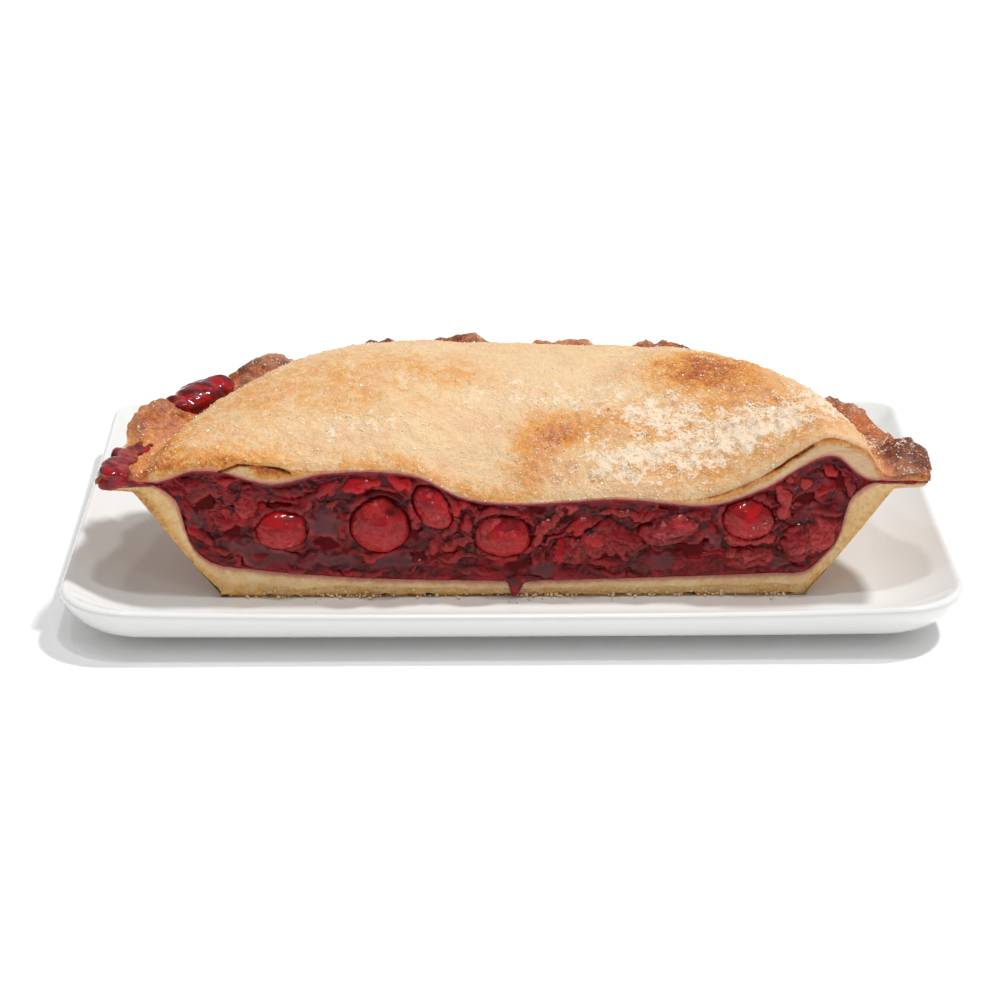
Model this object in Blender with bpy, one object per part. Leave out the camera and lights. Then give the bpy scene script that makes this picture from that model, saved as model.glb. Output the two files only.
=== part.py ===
"""Half of a double-crust cherry pie, cut side forward, on its white porcelain plate.

Units are metres and +Z is up.  The origin is on the table, under the middle of the plate.
The pie was baked in a round tin, so its layers are sections swept half a turn about the pie's
axis.  The axis stands on the cut plane, and the height functions below give the top crust its
dome, its crimped rim and the edge that sags where the pie was cut.
"""
import math

import bmesh
import bpy
from mathutils import Matrix, Vector

# ---- plate: a rounded rectangle whose sides curve up to a thin lip
PLATE_LENGTH = 0.2264
PLATE_DEPTH = 0.1490
PLATE_CORNER_RADII = {"front": 0.019, "back": 0.007}
PLATE_INNER_CORNER_RADIUS = 0.006
PLATE_CORNER_LIFT = 0.0012
PLATE_CORNER_STEPS = 6
PLATE_LONG_STEPS = 4
PLATE_SHORT_STEPS = 3
PLATE_LIP_HEIGHT = 0.0125
PLATE_FLOOR_HEIGHT = 0.0055
PLATE_FLOOR_INSET = 0.021
PLATE_FOOT_INSET = 0.0265
PLATE_FOOT_WIDTH = 0.004
PLATE_RECESS = 0.0014

# ---- pie: an 8 inch tin, cut through its middle
GAP = 0.0003
AXIS = Vector((0.0005, -0.0469, PLATE_FLOOR_HEIGHT + GAP))
SWEEP_STEPS = 44
RIM_RADIUS = 0.1045
BASE_RADIUS = 0.0745
WALL_TOP_RADIUS = 0.0952
WALL_TOP_HEIGHT = 0.0286
FLANGE_INNER_RADIUS = 0.0905
FLANGE_THICKNESS = 0.0016

# Inside of the bottom crust, as (radius, height): its base was rolled unevenly, and its wall is
# thick at the top.
BASE_TOP_RIGHT = ((0.0, 0.0040), (0.020, 0.0043), (0.040, 0.0050), (0.060, 0.0056), (0.0735, 0.0062))
BASE_TOP_LEFT = (
    (0.0, 0.0040), (0.015, 0.0045), (0.030, 0.0046), (0.042, 0.0051), (0.053, 0.0060),
    (0.062, 0.0070), (0.0735, 0.0084),
)
BASE_RADII = (0.0, 0.030, 0.053, 0.066, 0.0735)
INNER_WALL = (
    (0.0785, 0.0108), (0.0818, 0.0155), (0.0842, 0.0250), (0.0862, 0.0278), (0.0885, 0.0296),
)

# ---- top crust
DOME_RADIUS = 0.0945
DOME_EDGE_HEIGHT = 0.0330
DOME_RISE = 0.0174
SAG_LENGTH = 0.021
CRUST_THICKNESS = 0.0038
RIM_SHOULDER_RADIUS = 0.0875
CRIMP_CREST_RADIUS = 0.1000
CRIMP_CREST_WIDTH = 0.0052
CRIMP_BULGE = 0.0026
CRIMP_FULL_HEIGHT = 0.0042
RIM_VALLEY_HEIGHT = 0.0313

# Crimps of the rim, as (angle from the right tip in degrees, half width, height): pinched by hand.
CRIMPS = (
    (7, 7.0, 0.0046), (29, 5.6, 0.0024), (47, 6.2, 0.0030), (64.5, 6.8, 0.0050), (81, 6.4, 0.0030),
    (97.6, 5.8, 0.0044), (111.5, 6.0, 0.0044), (131.5, 6.6, 0.0068), (157, 5.8, 0.0066),
    (177, 7.0, 0.0024),
)

# Swellings and dips of the dome, as (x, y, height, spread) from the axis.
SWELLS = (
    (0.074, 0.026, 0.0058, 0.0200),
    (0.050, 0.052, 0.0036, 0.0180),
    (-0.048, 0.056, 0.0036, 0.0220),
    (0.006, 0.068, -0.0015, 0.0210),
)

SWELL_FADE_RADIUS = 0.077

# The crease beside the browned swelling runs between these two places on the crust.
CREASE_ENDS = ((0.006, 0.010), (0.037, 0.066))
CREASE_DEPTH = 0.0016
CREASE_WIDTH = 0.0050

# Top of the crust along the cut, as (x, height): it droops over the filling in the middle.
CUT_TOP = (
    (-0.0945, 0.0356), (-0.0840, 0.0364), (-0.0680, 0.0374), (-0.0520, 0.0356),
    (-0.0260, 0.0346), (-0.0120, 0.0280), (0.0020, 0.0264), (0.0250, 0.0278),
    (0.0480, 0.0278), (0.0620, 0.0335), (0.0775, 0.0436), (0.0870, 0.0410), (0.0945, 0.0362),
)

# Thickness of the crust along the cut, as (x, thickness): thick where flaky layers part.
CUT_THICKNESS = (
    (-0.0945, 0.0030), (-0.0760, 0.0032), (-0.0620, 0.0066), (-0.0480, 0.0026),
    (-0.0260, 0.0022), (0.0300, 0.0022), (0.0580, 0.0050), (0.0780, 0.0066), (0.0945, 0.0056),
)

# Radii at which the sections of the crust and of the filling have their points.
TOP_RADII = (0.006, 0.013, 0.020, 0.028, 0.040, 0.051, 0.060, 0.068, 0.076, 0.083)
UNDER_RADII = (0.008, 0.017, 0.026, 0.040, 0.053, 0.063, 0.072, 0.080, 0.086)

# ---- cherries that the cut laid open: (x, height, half sizes in x, y and z, tilt, set-back)
CHERRIES = (
    (-0.0583, 0.0185, 0.0066, 0.0062, 0.0052, 6, 0.0028),
    (-0.0337, 0.0196, 0.0080, 0.0078, 0.0076, 0, 0.0038),
    (-0.0205, 0.0244, 0.0046, 0.0055, 0.0060, 38, 0.0030),
    (-0.0030, 0.0168, 0.0080, 0.0070, 0.0060, -8, 0.0036),
    (0.0175, 0.0138, 0.0088, 0.0060, 0.0052, 10, 0.0038),
    (0.0395, 0.0182, 0.0090, 0.0050, 0.0040, 14, 0.0028),
    (0.0590, 0.0208, 0.0070, 0.0068, 0.0056, -10, 0.0032),
    (0.0590, 0.0106, 0.0072, 0.0055, 0.0038, 4, 0.0034),
    (0.0718, 0.0148, 0.0052, 0.0060, 0.0064, -22, 0.0036),
)
CHERRY_SEGMENTS = 12
CHERRY_RINGS = 8

# ---- cherry that boiled out over the rim at the back left
RIM_CHERRY_ANGLE = 146.4
RIM_CHERRY_RADIUS = 0.0995
RIM_CHERRY_HEIGHT = 0.0336
RIM_CHERRY_SIZE = (0.0116, 0.0062, 0.0046)

# ---- colours (linear) and gloss of the materials
COLOURS = {
    "porcelain": ((0.86, 0.86, 0.84, 1.0), 0.12),
    "crust": ((0.72, 0.46, 0.21, 1.0), 0.70),
    "pale_crust": ((0.74, 0.54, 0.30, 1.0), 0.75),
    "cherry_gel": ((0.20, 0.008, 0.015, 1.0), 0.15),
    "cherry": ((0.45, 0.010, 0.014, 1.0), 0.12),
}


# ---------------------------------------------------------------- small tools

def material(name):
    """Return the named material, made once."""
    if name in bpy.data.materials:
        return bpy.data.materials[name]
    colour, roughness = COLOURS[name]
    made = bpy.data.materials.new(name)
    made.use_nodes = True
    shader = made.node_tree.nodes["Principled BSDF"]
    shader.inputs["Base Color"].default_value = colour
    shader.inputs["Roughness"].default_value = roughness
    shader.inputs["Metallic"].default_value = 0.0
    made.diffuse_color = colour
    return made


def add_object(name, bm, collection, material_name, sharp_angle=40):
    """Turn a bmesh into a smooth-shaded object of a collection."""
    bmesh.ops.recalc_face_normals(bm, faces=bm.faces)
    mesh = bpy.data.meshes.new(name)
    bm.to_mesh(mesh)
    bm.free()
    mesh.shade_smooth()
    mesh.set_sharp_from_angle(angle=math.radians(sharp_angle))
    mesh.materials.append(material(material_name))
    made = bpy.data.objects.new(name, mesh)
    collection.objects.link(made)
    return made


def as_cutter(piece):
    """Mark an object as a tool that isn't part of the pie."""
    piece.hide_render = True
    piece.display_type = "WIRE"
    return piece


def cut(piece, cutter):
    """Take a cutter's shape out of a piece."""
    modifier = piece.modifiers.new("cut_" + cutter.name, "BOOLEAN")
    modifier.operation = "DIFFERENCE"
    modifier.solver = "EXACT"
    modifier.object = cutter


def smooth_step(low, high, value):
    """Rise smoothly from 0 at low to 1 at high."""
    share = min(1.0, max(0.0, (value - low) / (high - low)))
    return share * share * (3.0 - 2.0 * share)


def along(points, x):
    """Read a smooth curve through (x, value) points, level with its ends outside them."""
    if x <= points[0][0]:
        return points[0][1]
    if x >= points[-1][0]:
        return points[-1][1]
    index = max(i for i, point in enumerate(points[:-1]) if point[0] <= x)
    before = points[max(index - 1, 0)]
    start, end = points[index], points[index + 1]
    after = points[min(index + 2, len(points) - 1)]
    span = end[0] - start[0]
    share = (x - start[0]) / span
    slope_start = (end[1] - before[1]) / (end[0] - before[0]) * span
    slope_end = (after[1] - start[1]) / (after[0] - start[0]) * span
    square, cube = share ** 2, share ** 3
    return (
        (2 * cube - 3 * square + 1) * start[1] + (cube - 2 * square + share) * slope_start
        + (3 * square - 2 * cube) * end[1] + (cube - square) * slope_end
    )


# ---------------------------------------------------------------- the pie's heights

def crimp(angle):
    """Height that the hand-pinched rim gains at an angle in degrees."""
    return sum(height * math.exp(-abs((angle - centre) / half_width) ** 3)
               for centre, half_width, height in CRIMPS)


def crimp_share(angle):
    """How far an angle is on a crimp: 0 in a valley, 1 on a full crimp."""
    return min(1.0, crimp(angle) / CRIMP_FULL_HEIGHT)


def sag(y, radius):
    """Share with which the cut edge pulls the crust down: all at the cut, none at the rim."""
    stiffness = smooth_step(RIM_SHOULDER_RADIUS, DOME_RADIUS, radius)
    return math.exp(-max(y, 0.0) / SAG_LENGTH) * (1.0 - stiffness)


def crease(x, y):
    """Depth of the crease at a place on the crust."""
    (x0, y0), (x1, y1) = CREASE_ENDS
    length = math.hypot(x1 - x0, y1 - y0)
    on_line = ((x - x0) * (x1 - x0) + (y - y0) * (y1 - y0)) / length
    off_line = ((x - x0) * (y1 - y0) - (y - y0) * (x1 - x0)) / length
    ends = smooth_step(-0.008, 0.008, on_line) * (1 - smooth_step(length - 0.01, length + 0.006, on_line))
    return CREASE_DEPTH * ends * math.exp(-(off_line / CREASE_WIDTH) ** 2)


def crust_top(radius, angle):
    """Height of the crust's upper side at a radius and an angle in degrees."""
    x = radius * math.cos(math.radians(angle))
    y = radius * math.sin(math.radians(angle))
    share = min(radius / DOME_RADIUS, 1.0)
    dome = DOME_EDGE_HEIGHT + DOME_RISE * (1.0 - share ** 4)
    for swell_x, swell_y, height, spread in SWELLS:
        swell = math.exp(-((x - swell_x) ** 2 + (y - swell_y) ** 2) / (2 * spread ** 2))
        dome += height * swell * (1.0 - smooth_step(SWELL_FADE_RADIUS, DOME_RADIUS, radius))
    dome -= crease(x, y)
    pull = sag(y, radius)
    inner = dome * (1.0 - pull) + along(CUT_TOP, x) * pull
    crest = math.exp(-((radius - CRIMP_CREST_RADIUS) / CRIMP_CREST_WIDTH) ** 2)
    rim = RIM_VALLEY_HEIGHT + crimp(angle) * crest
    edge = smooth_step(RIM_SHOULDER_RADIUS, DOME_RADIUS + 0.002, radius)
    return inner * (1.0 - edge) + rim * edge


def flange_top(angle):
    """Height of the bottom crust's flange, which follows the crimps a little."""
    return WALL_TOP_HEIGHT + FLANGE_THICKNESS + 0.15 * crimp(angle)


def crust_under(radius, angle):
    """Height of the crust's lower side above the filling."""
    x = radius * math.cos(math.radians(angle))
    y = radius * math.sin(math.radians(angle))
    pull = sag(y, radius)
    thickness = CRUST_THICKNESS * (1.0 - pull) + along(CUT_THICKNESS, x) * pull
    free = crust_top(radius, angle) - thickness
    seat = smooth_step(0.080, FLANGE_INNER_RADIUS, radius)
    return free * (1.0 - seat) + (flange_top(angle) + GAP) * seat


# ---------------------------------------------------------------- swept pieces

def sweep(name, section, collection, material_name):
    """Sweep a section half a turn: section(angle) lists its (radius, height) points.

    Its first and last points are on the axis, and its cut face closes the body.
    """
    bm = bmesh.new()
    rows = []
    for step in range(SWEEP_STEPS + 1):
        angle = 180.0 * step / SWEEP_STEPS
        turn = Matrix.Rotation(math.radians(angle), 4, "Z")
        rows.append([bm.verts.new(turn @ Vector((radius, 0.0, height)) + AXIS)
                     for radius, height in section(angle)])
    for row, following in zip(rows, rows[1:]):
        for a, b, c, d in zip(row, row[1:], following[1:], following):
            # The diagonal leads outwards, so that facing layers are split alike and keep their gap.
            outwards = (a.co - AXIS).xy.length <= (b.co - AXIS).xy.length
            for triangle in ((a, b, c), (a, c, d)) if outwards else ((a, b, d), (b, c, d)):
                bm.faces.new(triangle)
    bmesh.ops.dissolve_degenerate(bm, dist=1e-7, edges=bm.edges)
    bmesh.ops.remove_doubles(bm, verts=bm.verts, dist=1e-7)
    rim_edges = [edge for edge in bm.edges if edge.is_boundary]
    bmesh.ops.contextual_create(bm, geom=rim_edges)
    return add_object(name, bm, collection, material_name)


def base_top(radius, angle):
    """Height of the bottom crust's base inside, thicker at the left than at the right."""
    leftness = (1.0 - math.cos(math.radians(angle))) / 2.0
    return along(BASE_TOP_RIGHT, radius) * (1.0 - leftness) + along(BASE_TOP_LEFT, radius) * leftness


def bottom_crust_section(angle):
    """Base, sloping wall and flange, from the axis below to the axis above."""
    flange_radius = RIM_RADIUS - 0.0012 + CRIMP_BULGE * (crimp_share(angle) - 0.5)
    flange = flange_top(angle)
    points = [
        (0.0, 0.0),
        (BASE_RADIUS - 0.0012, 0.0),
        (BASE_RADIUS + 0.0006, 0.0012),
        (WALL_TOP_RADIUS, WALL_TOP_HEIGHT),
        (flange_radius, flange - FLANGE_THICKNESS * 0.7),
        (flange_radius, flange),
        (FLANGE_INNER_RADIUS, flange),
    ]
    points += reversed(INNER_WALL)
    points += [(radius, base_top(radius, angle)) for radius in reversed(BASE_RADII)]
    return points


def filling_section(angle):
    """Filling of the bottom crust up to the lower side of the top crust."""
    points = [(radius, base_top(radius, angle) + GAP) for radius in BASE_RADII]
    points += [(radius - GAP * 1.5, height) for radius, height in INNER_WALL[:-1]]
    points.append((INNER_WALL[-1][0] - 0.0009, INNER_WALL[-1][1] + 0.0002))
    points += [(radius, crust_under(radius, angle) - GAP) for radius in reversed(UNDER_RADII)]
    points.append((0.0, crust_under(0.0, angle) - GAP))
    return points


def top_crust_section(angle, lift=0.0, extra_depth=0.0):
    """Domed crust and crimped rim, grown by a lift and thickened downwards for a cutter."""
    low = lift - extra_depth
    rim_radius = RIM_RADIUS + CRIMP_BULGE * (crimp_share(angle) - 0.5) + lift
    seat = flange_top(angle) + GAP
    crest = crust_top(CRIMP_CREST_RADIUS, angle)
    points = [(0.0, crust_under(0.0, angle) + low)]
    points += [(radius, crust_under(radius, angle) + low) for radius in UNDER_RADII]
    points += [
        (FLANGE_INNER_RADIUS, seat + low),
        (rim_radius - 0.0016, seat + low),
        (rim_radius, seat + (crest - seat) * 0.20 + lift),
        (rim_radius, seat + (crest - seat) * 0.55 + lift),
        (rim_radius - 0.0016, seat + (crest - seat) * 0.88 + lift),
        (CRIMP_CREST_RADIUS, crest + lift),
        (0.0965, crust_top(0.0965, angle) + lift),
        (0.0925, crust_top(0.0925, angle) + lift),
        (0.0885, crust_top(0.0885, angle) + lift),
    ]
    points += [(radius, crust_top(radius, angle) + lift) for radius in reversed(TOP_RADII)]
    points.append((0.0, crust_top(0.0, angle) + lift))
    return points


# ---------------------------------------------------------------- plate

def corner_arc(quarter, half_x, half_y, inset):
    """Points round one of the plate's corners, counted anticlockwise from the back right."""
    outer_radius = PLATE_CORNER_RADII["back" if quarter < 2 else "front"]
    radius = max(outer_radius - inset * 0.5, PLATE_INNER_CORNER_RADIUS)
    sign_x = (1, -1, -1, 1)[quarter]
    sign_y = (1, 1, -1, -1)[quarter]
    centre = Vector((sign_x * (half_x - radius), sign_y * (half_y - radius), 0.0))
    angles = [math.pi / 2 * (quarter + step / PLATE_CORNER_STEPS) for step in range(PLATE_CORNER_STEPS + 1)]
    return [centre + radius * Vector((math.cos(angle), math.sin(angle), 0.0)) for angle in angles]


def rounded_rectangle(inset, height, lift):
    """Points of a rounded rectangle inset from the plate's outline, its corners lifted."""
    half_x = PLATE_LENGTH / 2 - inset
    half_y = PLATE_DEPTH / 2 - inset
    arcs = [corner_arc(quarter, half_x, half_y, inset) for quarter in range(4)]
    side_steps = (PLATE_LONG_STEPS, PLATE_SHORT_STEPS) * 2
    points = []
    for arc, following, steps in zip(arcs, arcs[1:] + arcs[:1], side_steps):
        points += arc
        points += [arc[-1].lerp(following[0], step / steps) for step in range(1, steps)]
    for point in points:
        nearness = (abs(point.x) / half_x * abs(point.y) / half_y) ** 3
        point.z = height + lift * min(1.0, nearness * 1.6)
    return points


def plate_profile():
    """Stations from the recess below, round the lip, to the floor: (inset, height, corner lift)."""
    lip = PLATE_LIP_HEIGHT
    foot_inner = PLATE_FOOT_INSET + PLATE_FOOT_WIDTH
    stations = [
        (foot_inner + 0.0012, PLATE_RECESS, 0.0),
        (foot_inner, 0.0, 0.0),
        (PLATE_FOOT_INSET, 0.0, 0.0),
        (0.0240, 0.0008, 0.0),
        (0.0130, 0.0025, 0.0),
        (0.0060, 0.0042, 0.2 * PLATE_CORNER_LIFT),
        (0.0030, 0.0062, 0.6 * PLATE_CORNER_LIFT),
        (0.0010, 0.0090, 0.9 * PLATE_CORNER_LIFT),
        (0.0, lip - 0.0010, PLATE_CORNER_LIFT),
        (0.0010, lip, PLATE_CORNER_LIFT),
        (0.0026, lip - 0.0008, PLATE_CORNER_LIFT),
    ]
    wall_start = stations[-1]
    wall_steps = 5
    for step in range(1, wall_steps + 1):
        share = step / wall_steps
        inset = wall_start[0] + (PLATE_FLOOR_INSET - wall_start[0]) * share
        fall = (1.0 - share) ** 1.9
        height = PLATE_FLOOR_HEIGHT + (wall_start[1] - PLATE_FLOOR_HEIGHT) * fall
        stations.append((inset, height, PLATE_CORNER_LIFT * fall))
    return stations


def build_plate(collection):
    """Porcelain plate: outlines lofted along its profile."""
    bm = bmesh.new()
    rings = [[bm.verts.new(point) for point in rounded_rectangle(*station)]
             for station in plate_profile()]
    for ring, following in zip(rings, rings[1:]):
        count = len(ring)
        for index in range(count):
            after = (index + 1) % count
            bm.faces.new((ring[index], ring[after], following[after], following[index]))
    bm.faces.new(rings[0])
    bm.faces.new(rings[-1])
    return add_object("plate", bm, collection, "porcelain")


# ---------------------------------------------------------------- cherries

def ellipsoid(name, size, centre, tilt_axis, tilt, collection, material_name):
    """Ellipsoid of half sizes, tilted by degrees about an axis."""
    bm = bmesh.new()
    bmesh.ops.create_uvsphere(bm, u_segments=CHERRY_SEGMENTS, v_segments=CHERRY_RINGS, radius=1.0)
    placing = (Matrix.Translation(centre) @ Matrix.Rotation(math.radians(tilt), 4, tilt_axis)
               @ Matrix.Diagonal((*size, 1.0)))
    bmesh.ops.transform(bm, matrix=placing, verts=bm.verts)
    return add_object(name, bm, collection, material_name)


def build_cherries(filling, collection, cutters):
    """Cherries in the cut face, each in its own socket of the filling."""
    for number, (x, height, half_x, half_y, half_z, tilt, set_back) in enumerate(CHERRIES, 1):
        centre = AXIS + Vector((x, set_back, height))
        size = (half_x, half_y, half_z)
        socket_size = [half + GAP * 1.3 for half in size]
        name = f"cherry_{number}"
        ellipsoid(name, size, centre, "Y", -tilt, collection, "cherry")
        socket = ellipsoid(name + "_socket", socket_size, centre, "Y", -tilt, cutters, "cherry")
        cut(filling, as_cutter(socket))


def build_rim_cherry(collection, cutters):
    """Cherry and juice set on the rim, its lower side shaped by the crust."""
    angle = math.radians(RIM_CHERRY_ANGLE)
    centre = AXIS + Vector((
        RIM_CHERRY_RADIUS * math.cos(angle), RIM_CHERRY_RADIUS * math.sin(angle), RIM_CHERRY_HEIGHT))
    piece = ellipsoid("rim_cherry", RIM_CHERRY_SIZE, centre, "Z", RIM_CHERRY_ANGLE + 90, collection,
                      "cherry")
    seat = sweep("rim_cherry_seat", lambda turn: top_crust_section(turn, GAP, 0.012), cutters, "crust")
    cut(piece, as_cutter(seat))


def main():
    """Empty the scene, then build the plate and the pie on it."""
    for existing in list(bpy.data.objects):
        bpy.data.objects.remove(existing, do_unlink=True)
    parts = bpy.data.collections.new("cherry_pie")
    cutters = bpy.data.collections.new("cutters")
    bpy.context.scene.collection.children.link(parts)
    bpy.context.scene.collection.children.link(cutters)

    build_plate(parts)
    sweep("bottom_crust", bottom_crust_section, parts, "pale_crust")
    filling = sweep("filling", filling_section, parts, "cherry_gel")
    sweep("top_crust", top_crust_section, parts, "crust")
    build_cherries(filling, parts, cutters)
    build_rim_cherry(parts, cutters)


main()
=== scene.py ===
"""Looks of the half cherry pie on its plate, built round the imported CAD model.

Units are metres.  Shape functions work in the pie's own frame: x to the right along the cut,
y back through the pie and z up, from the foot of the pie's axis.
"""
import itertools
import math

import bmesh
import bpy
import numpy as np
from mathutils import Matrix, Vector


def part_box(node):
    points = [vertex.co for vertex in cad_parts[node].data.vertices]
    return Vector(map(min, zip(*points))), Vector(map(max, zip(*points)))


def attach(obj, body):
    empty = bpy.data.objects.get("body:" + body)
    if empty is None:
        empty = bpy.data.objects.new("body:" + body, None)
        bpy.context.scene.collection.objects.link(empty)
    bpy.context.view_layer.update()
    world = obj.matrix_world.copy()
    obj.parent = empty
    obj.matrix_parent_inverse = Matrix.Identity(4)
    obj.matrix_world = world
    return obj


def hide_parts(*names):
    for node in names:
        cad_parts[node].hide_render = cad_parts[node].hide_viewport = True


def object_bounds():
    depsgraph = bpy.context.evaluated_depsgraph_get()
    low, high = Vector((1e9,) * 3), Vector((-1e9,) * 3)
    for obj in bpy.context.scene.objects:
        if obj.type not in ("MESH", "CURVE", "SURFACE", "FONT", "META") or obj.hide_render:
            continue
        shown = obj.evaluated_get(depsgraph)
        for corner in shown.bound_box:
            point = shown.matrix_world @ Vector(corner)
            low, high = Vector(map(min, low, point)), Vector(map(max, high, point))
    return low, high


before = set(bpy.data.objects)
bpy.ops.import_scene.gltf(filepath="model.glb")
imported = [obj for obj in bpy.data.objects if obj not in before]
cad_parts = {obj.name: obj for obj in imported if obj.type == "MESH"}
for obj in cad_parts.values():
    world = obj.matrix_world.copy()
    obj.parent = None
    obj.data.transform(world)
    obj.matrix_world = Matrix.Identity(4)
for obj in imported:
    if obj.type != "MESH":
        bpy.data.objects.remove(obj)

CAD_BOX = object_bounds()
MM = 0.001

# ---- shape of the pie, as the CAD source has it
GAP = 0.0003
RIM_RADIUS = 0.1045
BASE_RADIUS = 0.0745
WALL_TOP_RADIUS = 0.0952
WALL_TOP_HEIGHT = 0.0286
FLANGE_INNER_RADIUS = 0.0905
FLANGE_THICKNESS = 0.0016
BASE_TOP_RIGHT = ((0.0, 0.004), (0.02, 0.0043), (0.04, 0.005), (0.06, 0.0056), (0.0735, 0.0062))
BASE_TOP_LEFT = (
    (0.0, 0.004), (0.015, 0.0045), (0.03, 0.0046), (0.042, 0.0051), (0.053, 0.006),
    (0.062, 0.007), (0.0735, 0.0084),
)
BASE_RADII = (0.0, 0.03, 0.053, 0.066, 0.0735)
INNER_WALL = (
    (0.0785, 0.0108), (0.0818, 0.0155), (0.0842, 0.025), (0.0862, 0.0278), (0.0885, 0.0296),
)
DOME_RADIUS = 0.0945
DOME_EDGE_HEIGHT = 0.033
DOME_RISE = 0.0174
SAG_LENGTH = 0.021
CRUST_THICKNESS = 0.0038
RIM_SHOULDER_RADIUS = 0.0875
CRIMP_CREST_RADIUS = 0.1
CRIMP_CREST_WIDTH = 0.0052
CRIMP_BULGE = 0.0026
CRIMP_FULL_HEIGHT = 0.0042
RIM_VALLEY_HEIGHT = 0.0313
CRIMPS = (
    (7, 7.0, 0.0046), (29, 5.6, 0.0024), (47, 6.2, 0.003), (64.5, 6.8, 0.005), (81, 6.4, 0.003),
    (97.6, 5.8, 0.0044), (111.5, 6.0, 0.0044), (131.5, 6.6, 0.0068), (157, 5.8, 0.0066),
    (177, 7.0, 0.0024),
)
SWELLS = (
    (0.074, 0.026, 0.0058, 0.02),
    (0.05, 0.052, 0.0036, 0.018),
    (-0.048, 0.056, 0.0036, 0.022),
    (0.006, 0.068, -0.0015, 0.021),
)
SWELL_FADE_RADIUS = 0.077
CREASE_ENDS = ((0.006, 0.01), (0.037, 0.066))
CREASE_DEPTH = 0.0016
CREASE_WIDTH = 0.005
CUT_TOP = (
    (-0.0945, 0.0356), (-0.084, 0.0364), (-0.068, 0.0374), (-0.052, 0.0356),
    (-0.026, 0.0346), (-0.012, 0.028), (0.002, 0.0264), (0.025, 0.0278),
    (0.048, 0.0278), (0.062, 0.0335), (0.0775, 0.0436), (0.087, 0.041), (0.0945, 0.0362),
)
CUT_THICKNESS = (
    (-0.0945, 0.003), (-0.076, 0.0032), (-0.062, 0.0066), (-0.048, 0.0026),
    (-0.026, 0.0022), (0.03, 0.0022), (0.058, 0.005), (0.078, 0.0066), (0.0945, 0.0056),
)
CHERRY_2_PLACE = Vector((-0.0337, 0.0038, 0.0196))
RIM_CHERRY_ANGLE = 146.4


def middle(node):
    """Middle of a CAD node's box."""
    low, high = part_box(node)
    return (low + high) / 2


# The pie's axis stands where the second cherry's place in the pie says.
AXIS = middle("cherry_2") - CHERRY_2_PLACE


# ---------------------------------------------------------------- noise

def lattice_hash(cells, seed):
    """Whole-number hash of each lattice cell (n, 3)."""
    mixed = cells[..., 0] * 374761393 + cells[..., 1] * 668265263 + cells[..., 2] * 1103515245
    mixed = (mixed + seed * 974634777) & 0xFFFFFFFF
    mixed = ((mixed ^ (mixed >> 13)) * 1274126177) & 0xFFFFFFFF
    return (mixed ^ (mixed >> 16)) & 0xFFFFFFFF


def hash_share(hashed, part=0):
    """A number from 0 to 1 from a hash; other parts give other numbers."""
    spun = (hashed * (2654435761 + 2 * part * 40503)) & 0xFFFFFFFF
    return ((spun >> 8) & 0xFFFF) / 65535.0


def noise(points, size, seed=0):
    """Gradient noise from about -1 to 1, with features of the given size, at points (n, 3)."""
    place = np.asarray(points) / size
    base = np.floor(place).astype(np.int64)
    share = place - base
    ease = share ** 3 * (share * (share * 6 - 15) + 10)
    total = np.zeros(len(place))
    for corner in itertools.product((0, 1), repeat=3):
        offset = np.array(corner)
        hashed = lattice_hash(base + offset, seed)
        gradient = np.stack([hash_share(hashed, part) * 2 - 1 for part in range(3)], -1)
        weight = np.prod(np.where(offset == 1, ease, 1 - ease), axis=-1)
        total += weight * ((share - offset) * gradient).sum(-1)
    return total * 1.9


def cells(points, size, seed=0):
    """Cell noise at points (n, 3): distance to the nearest cell's seed and that cell's number."""
    place = np.asarray(points) / size
    base = np.floor(place).astype(np.int64)
    nearest = np.full(len(place), 9.0)
    label = np.zeros(len(place))
    for offset in itertools.product((-1, 0, 1), repeat=3):
        cell = base + np.array(offset)
        hashed = lattice_hash(cell, seed)
        seeds = cell + np.stack([hash_share(hashed, part) for part in range(3)], -1)
        distance = np.sqrt(((place - seeds) ** 2).sum(-1))
        nearer = distance < nearest
        label = np.where(nearer, hash_share(hashed, 5), label)
        nearest = np.where(nearer, distance, nearest)
    return nearest, label


def rise(low, high, value):
    """Rise smoothly from 0 at low to 1 at high."""
    share = np.clip((np.asarray(value) - low) / (high - low), 0.0, 1.0)
    return share * share * (3.0 - 2.0 * share)


def bell(value, middle_value, width):
    """Bell curve of height 1 round a value."""
    return np.exp(-((np.asarray(value) - middle_value) / width) ** 2)


def spot(x, y, centre_x, centre_y, half_x, half_y, turn=0.0):
    """Soft oval: 1 in its middle, 0.37 on its outline; sizes in the same unit as x and y."""
    angle = math.radians(turn)
    dx, dy = x - centre_x, y - centre_y
    along_axis = dx * math.cos(angle) + dy * math.sin(angle)
    across_axis = -dx * math.sin(angle) + dy * math.cos(angle)
    return np.exp(-((along_axis / half_x) ** 2 + (across_axis / half_y) ** 2))


def spots(x, y, places):
    """Sum of soft ovals: (strength, centre x, centre y, half x, half y, turn)."""
    return sum(strength * spot(x, y, *place) for strength, *place in places)


def along(points, x):
    """Read a smooth curve through (x, value) points, level with its ends outside them."""
    known, values = np.array(points, float).T
    count = len(known)
    before = np.maximum(np.arange(count) - 1, 0)
    after = np.minimum(np.arange(count) + 1, count - 1)
    slopes = (values[after] - values[before]) / (known[after] - known[before])
    x = np.clip(x, known[0], known[-1])
    index = np.clip(np.searchsorted(known, x, side="right") - 1, 0, count - 2)
    span = known[index + 1] - known[index]
    share = (x - known[index]) / span
    square, cube = share ** 2, share ** 3
    return (
        (2 * cube - 3 * square + 1) * values[index] + (cube - 2 * square + share) * slopes[index] * span
        + (3 * square - 2 * cube) * values[index + 1] + (cube - square) * slopes[index + 1] * span
    )


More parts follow.
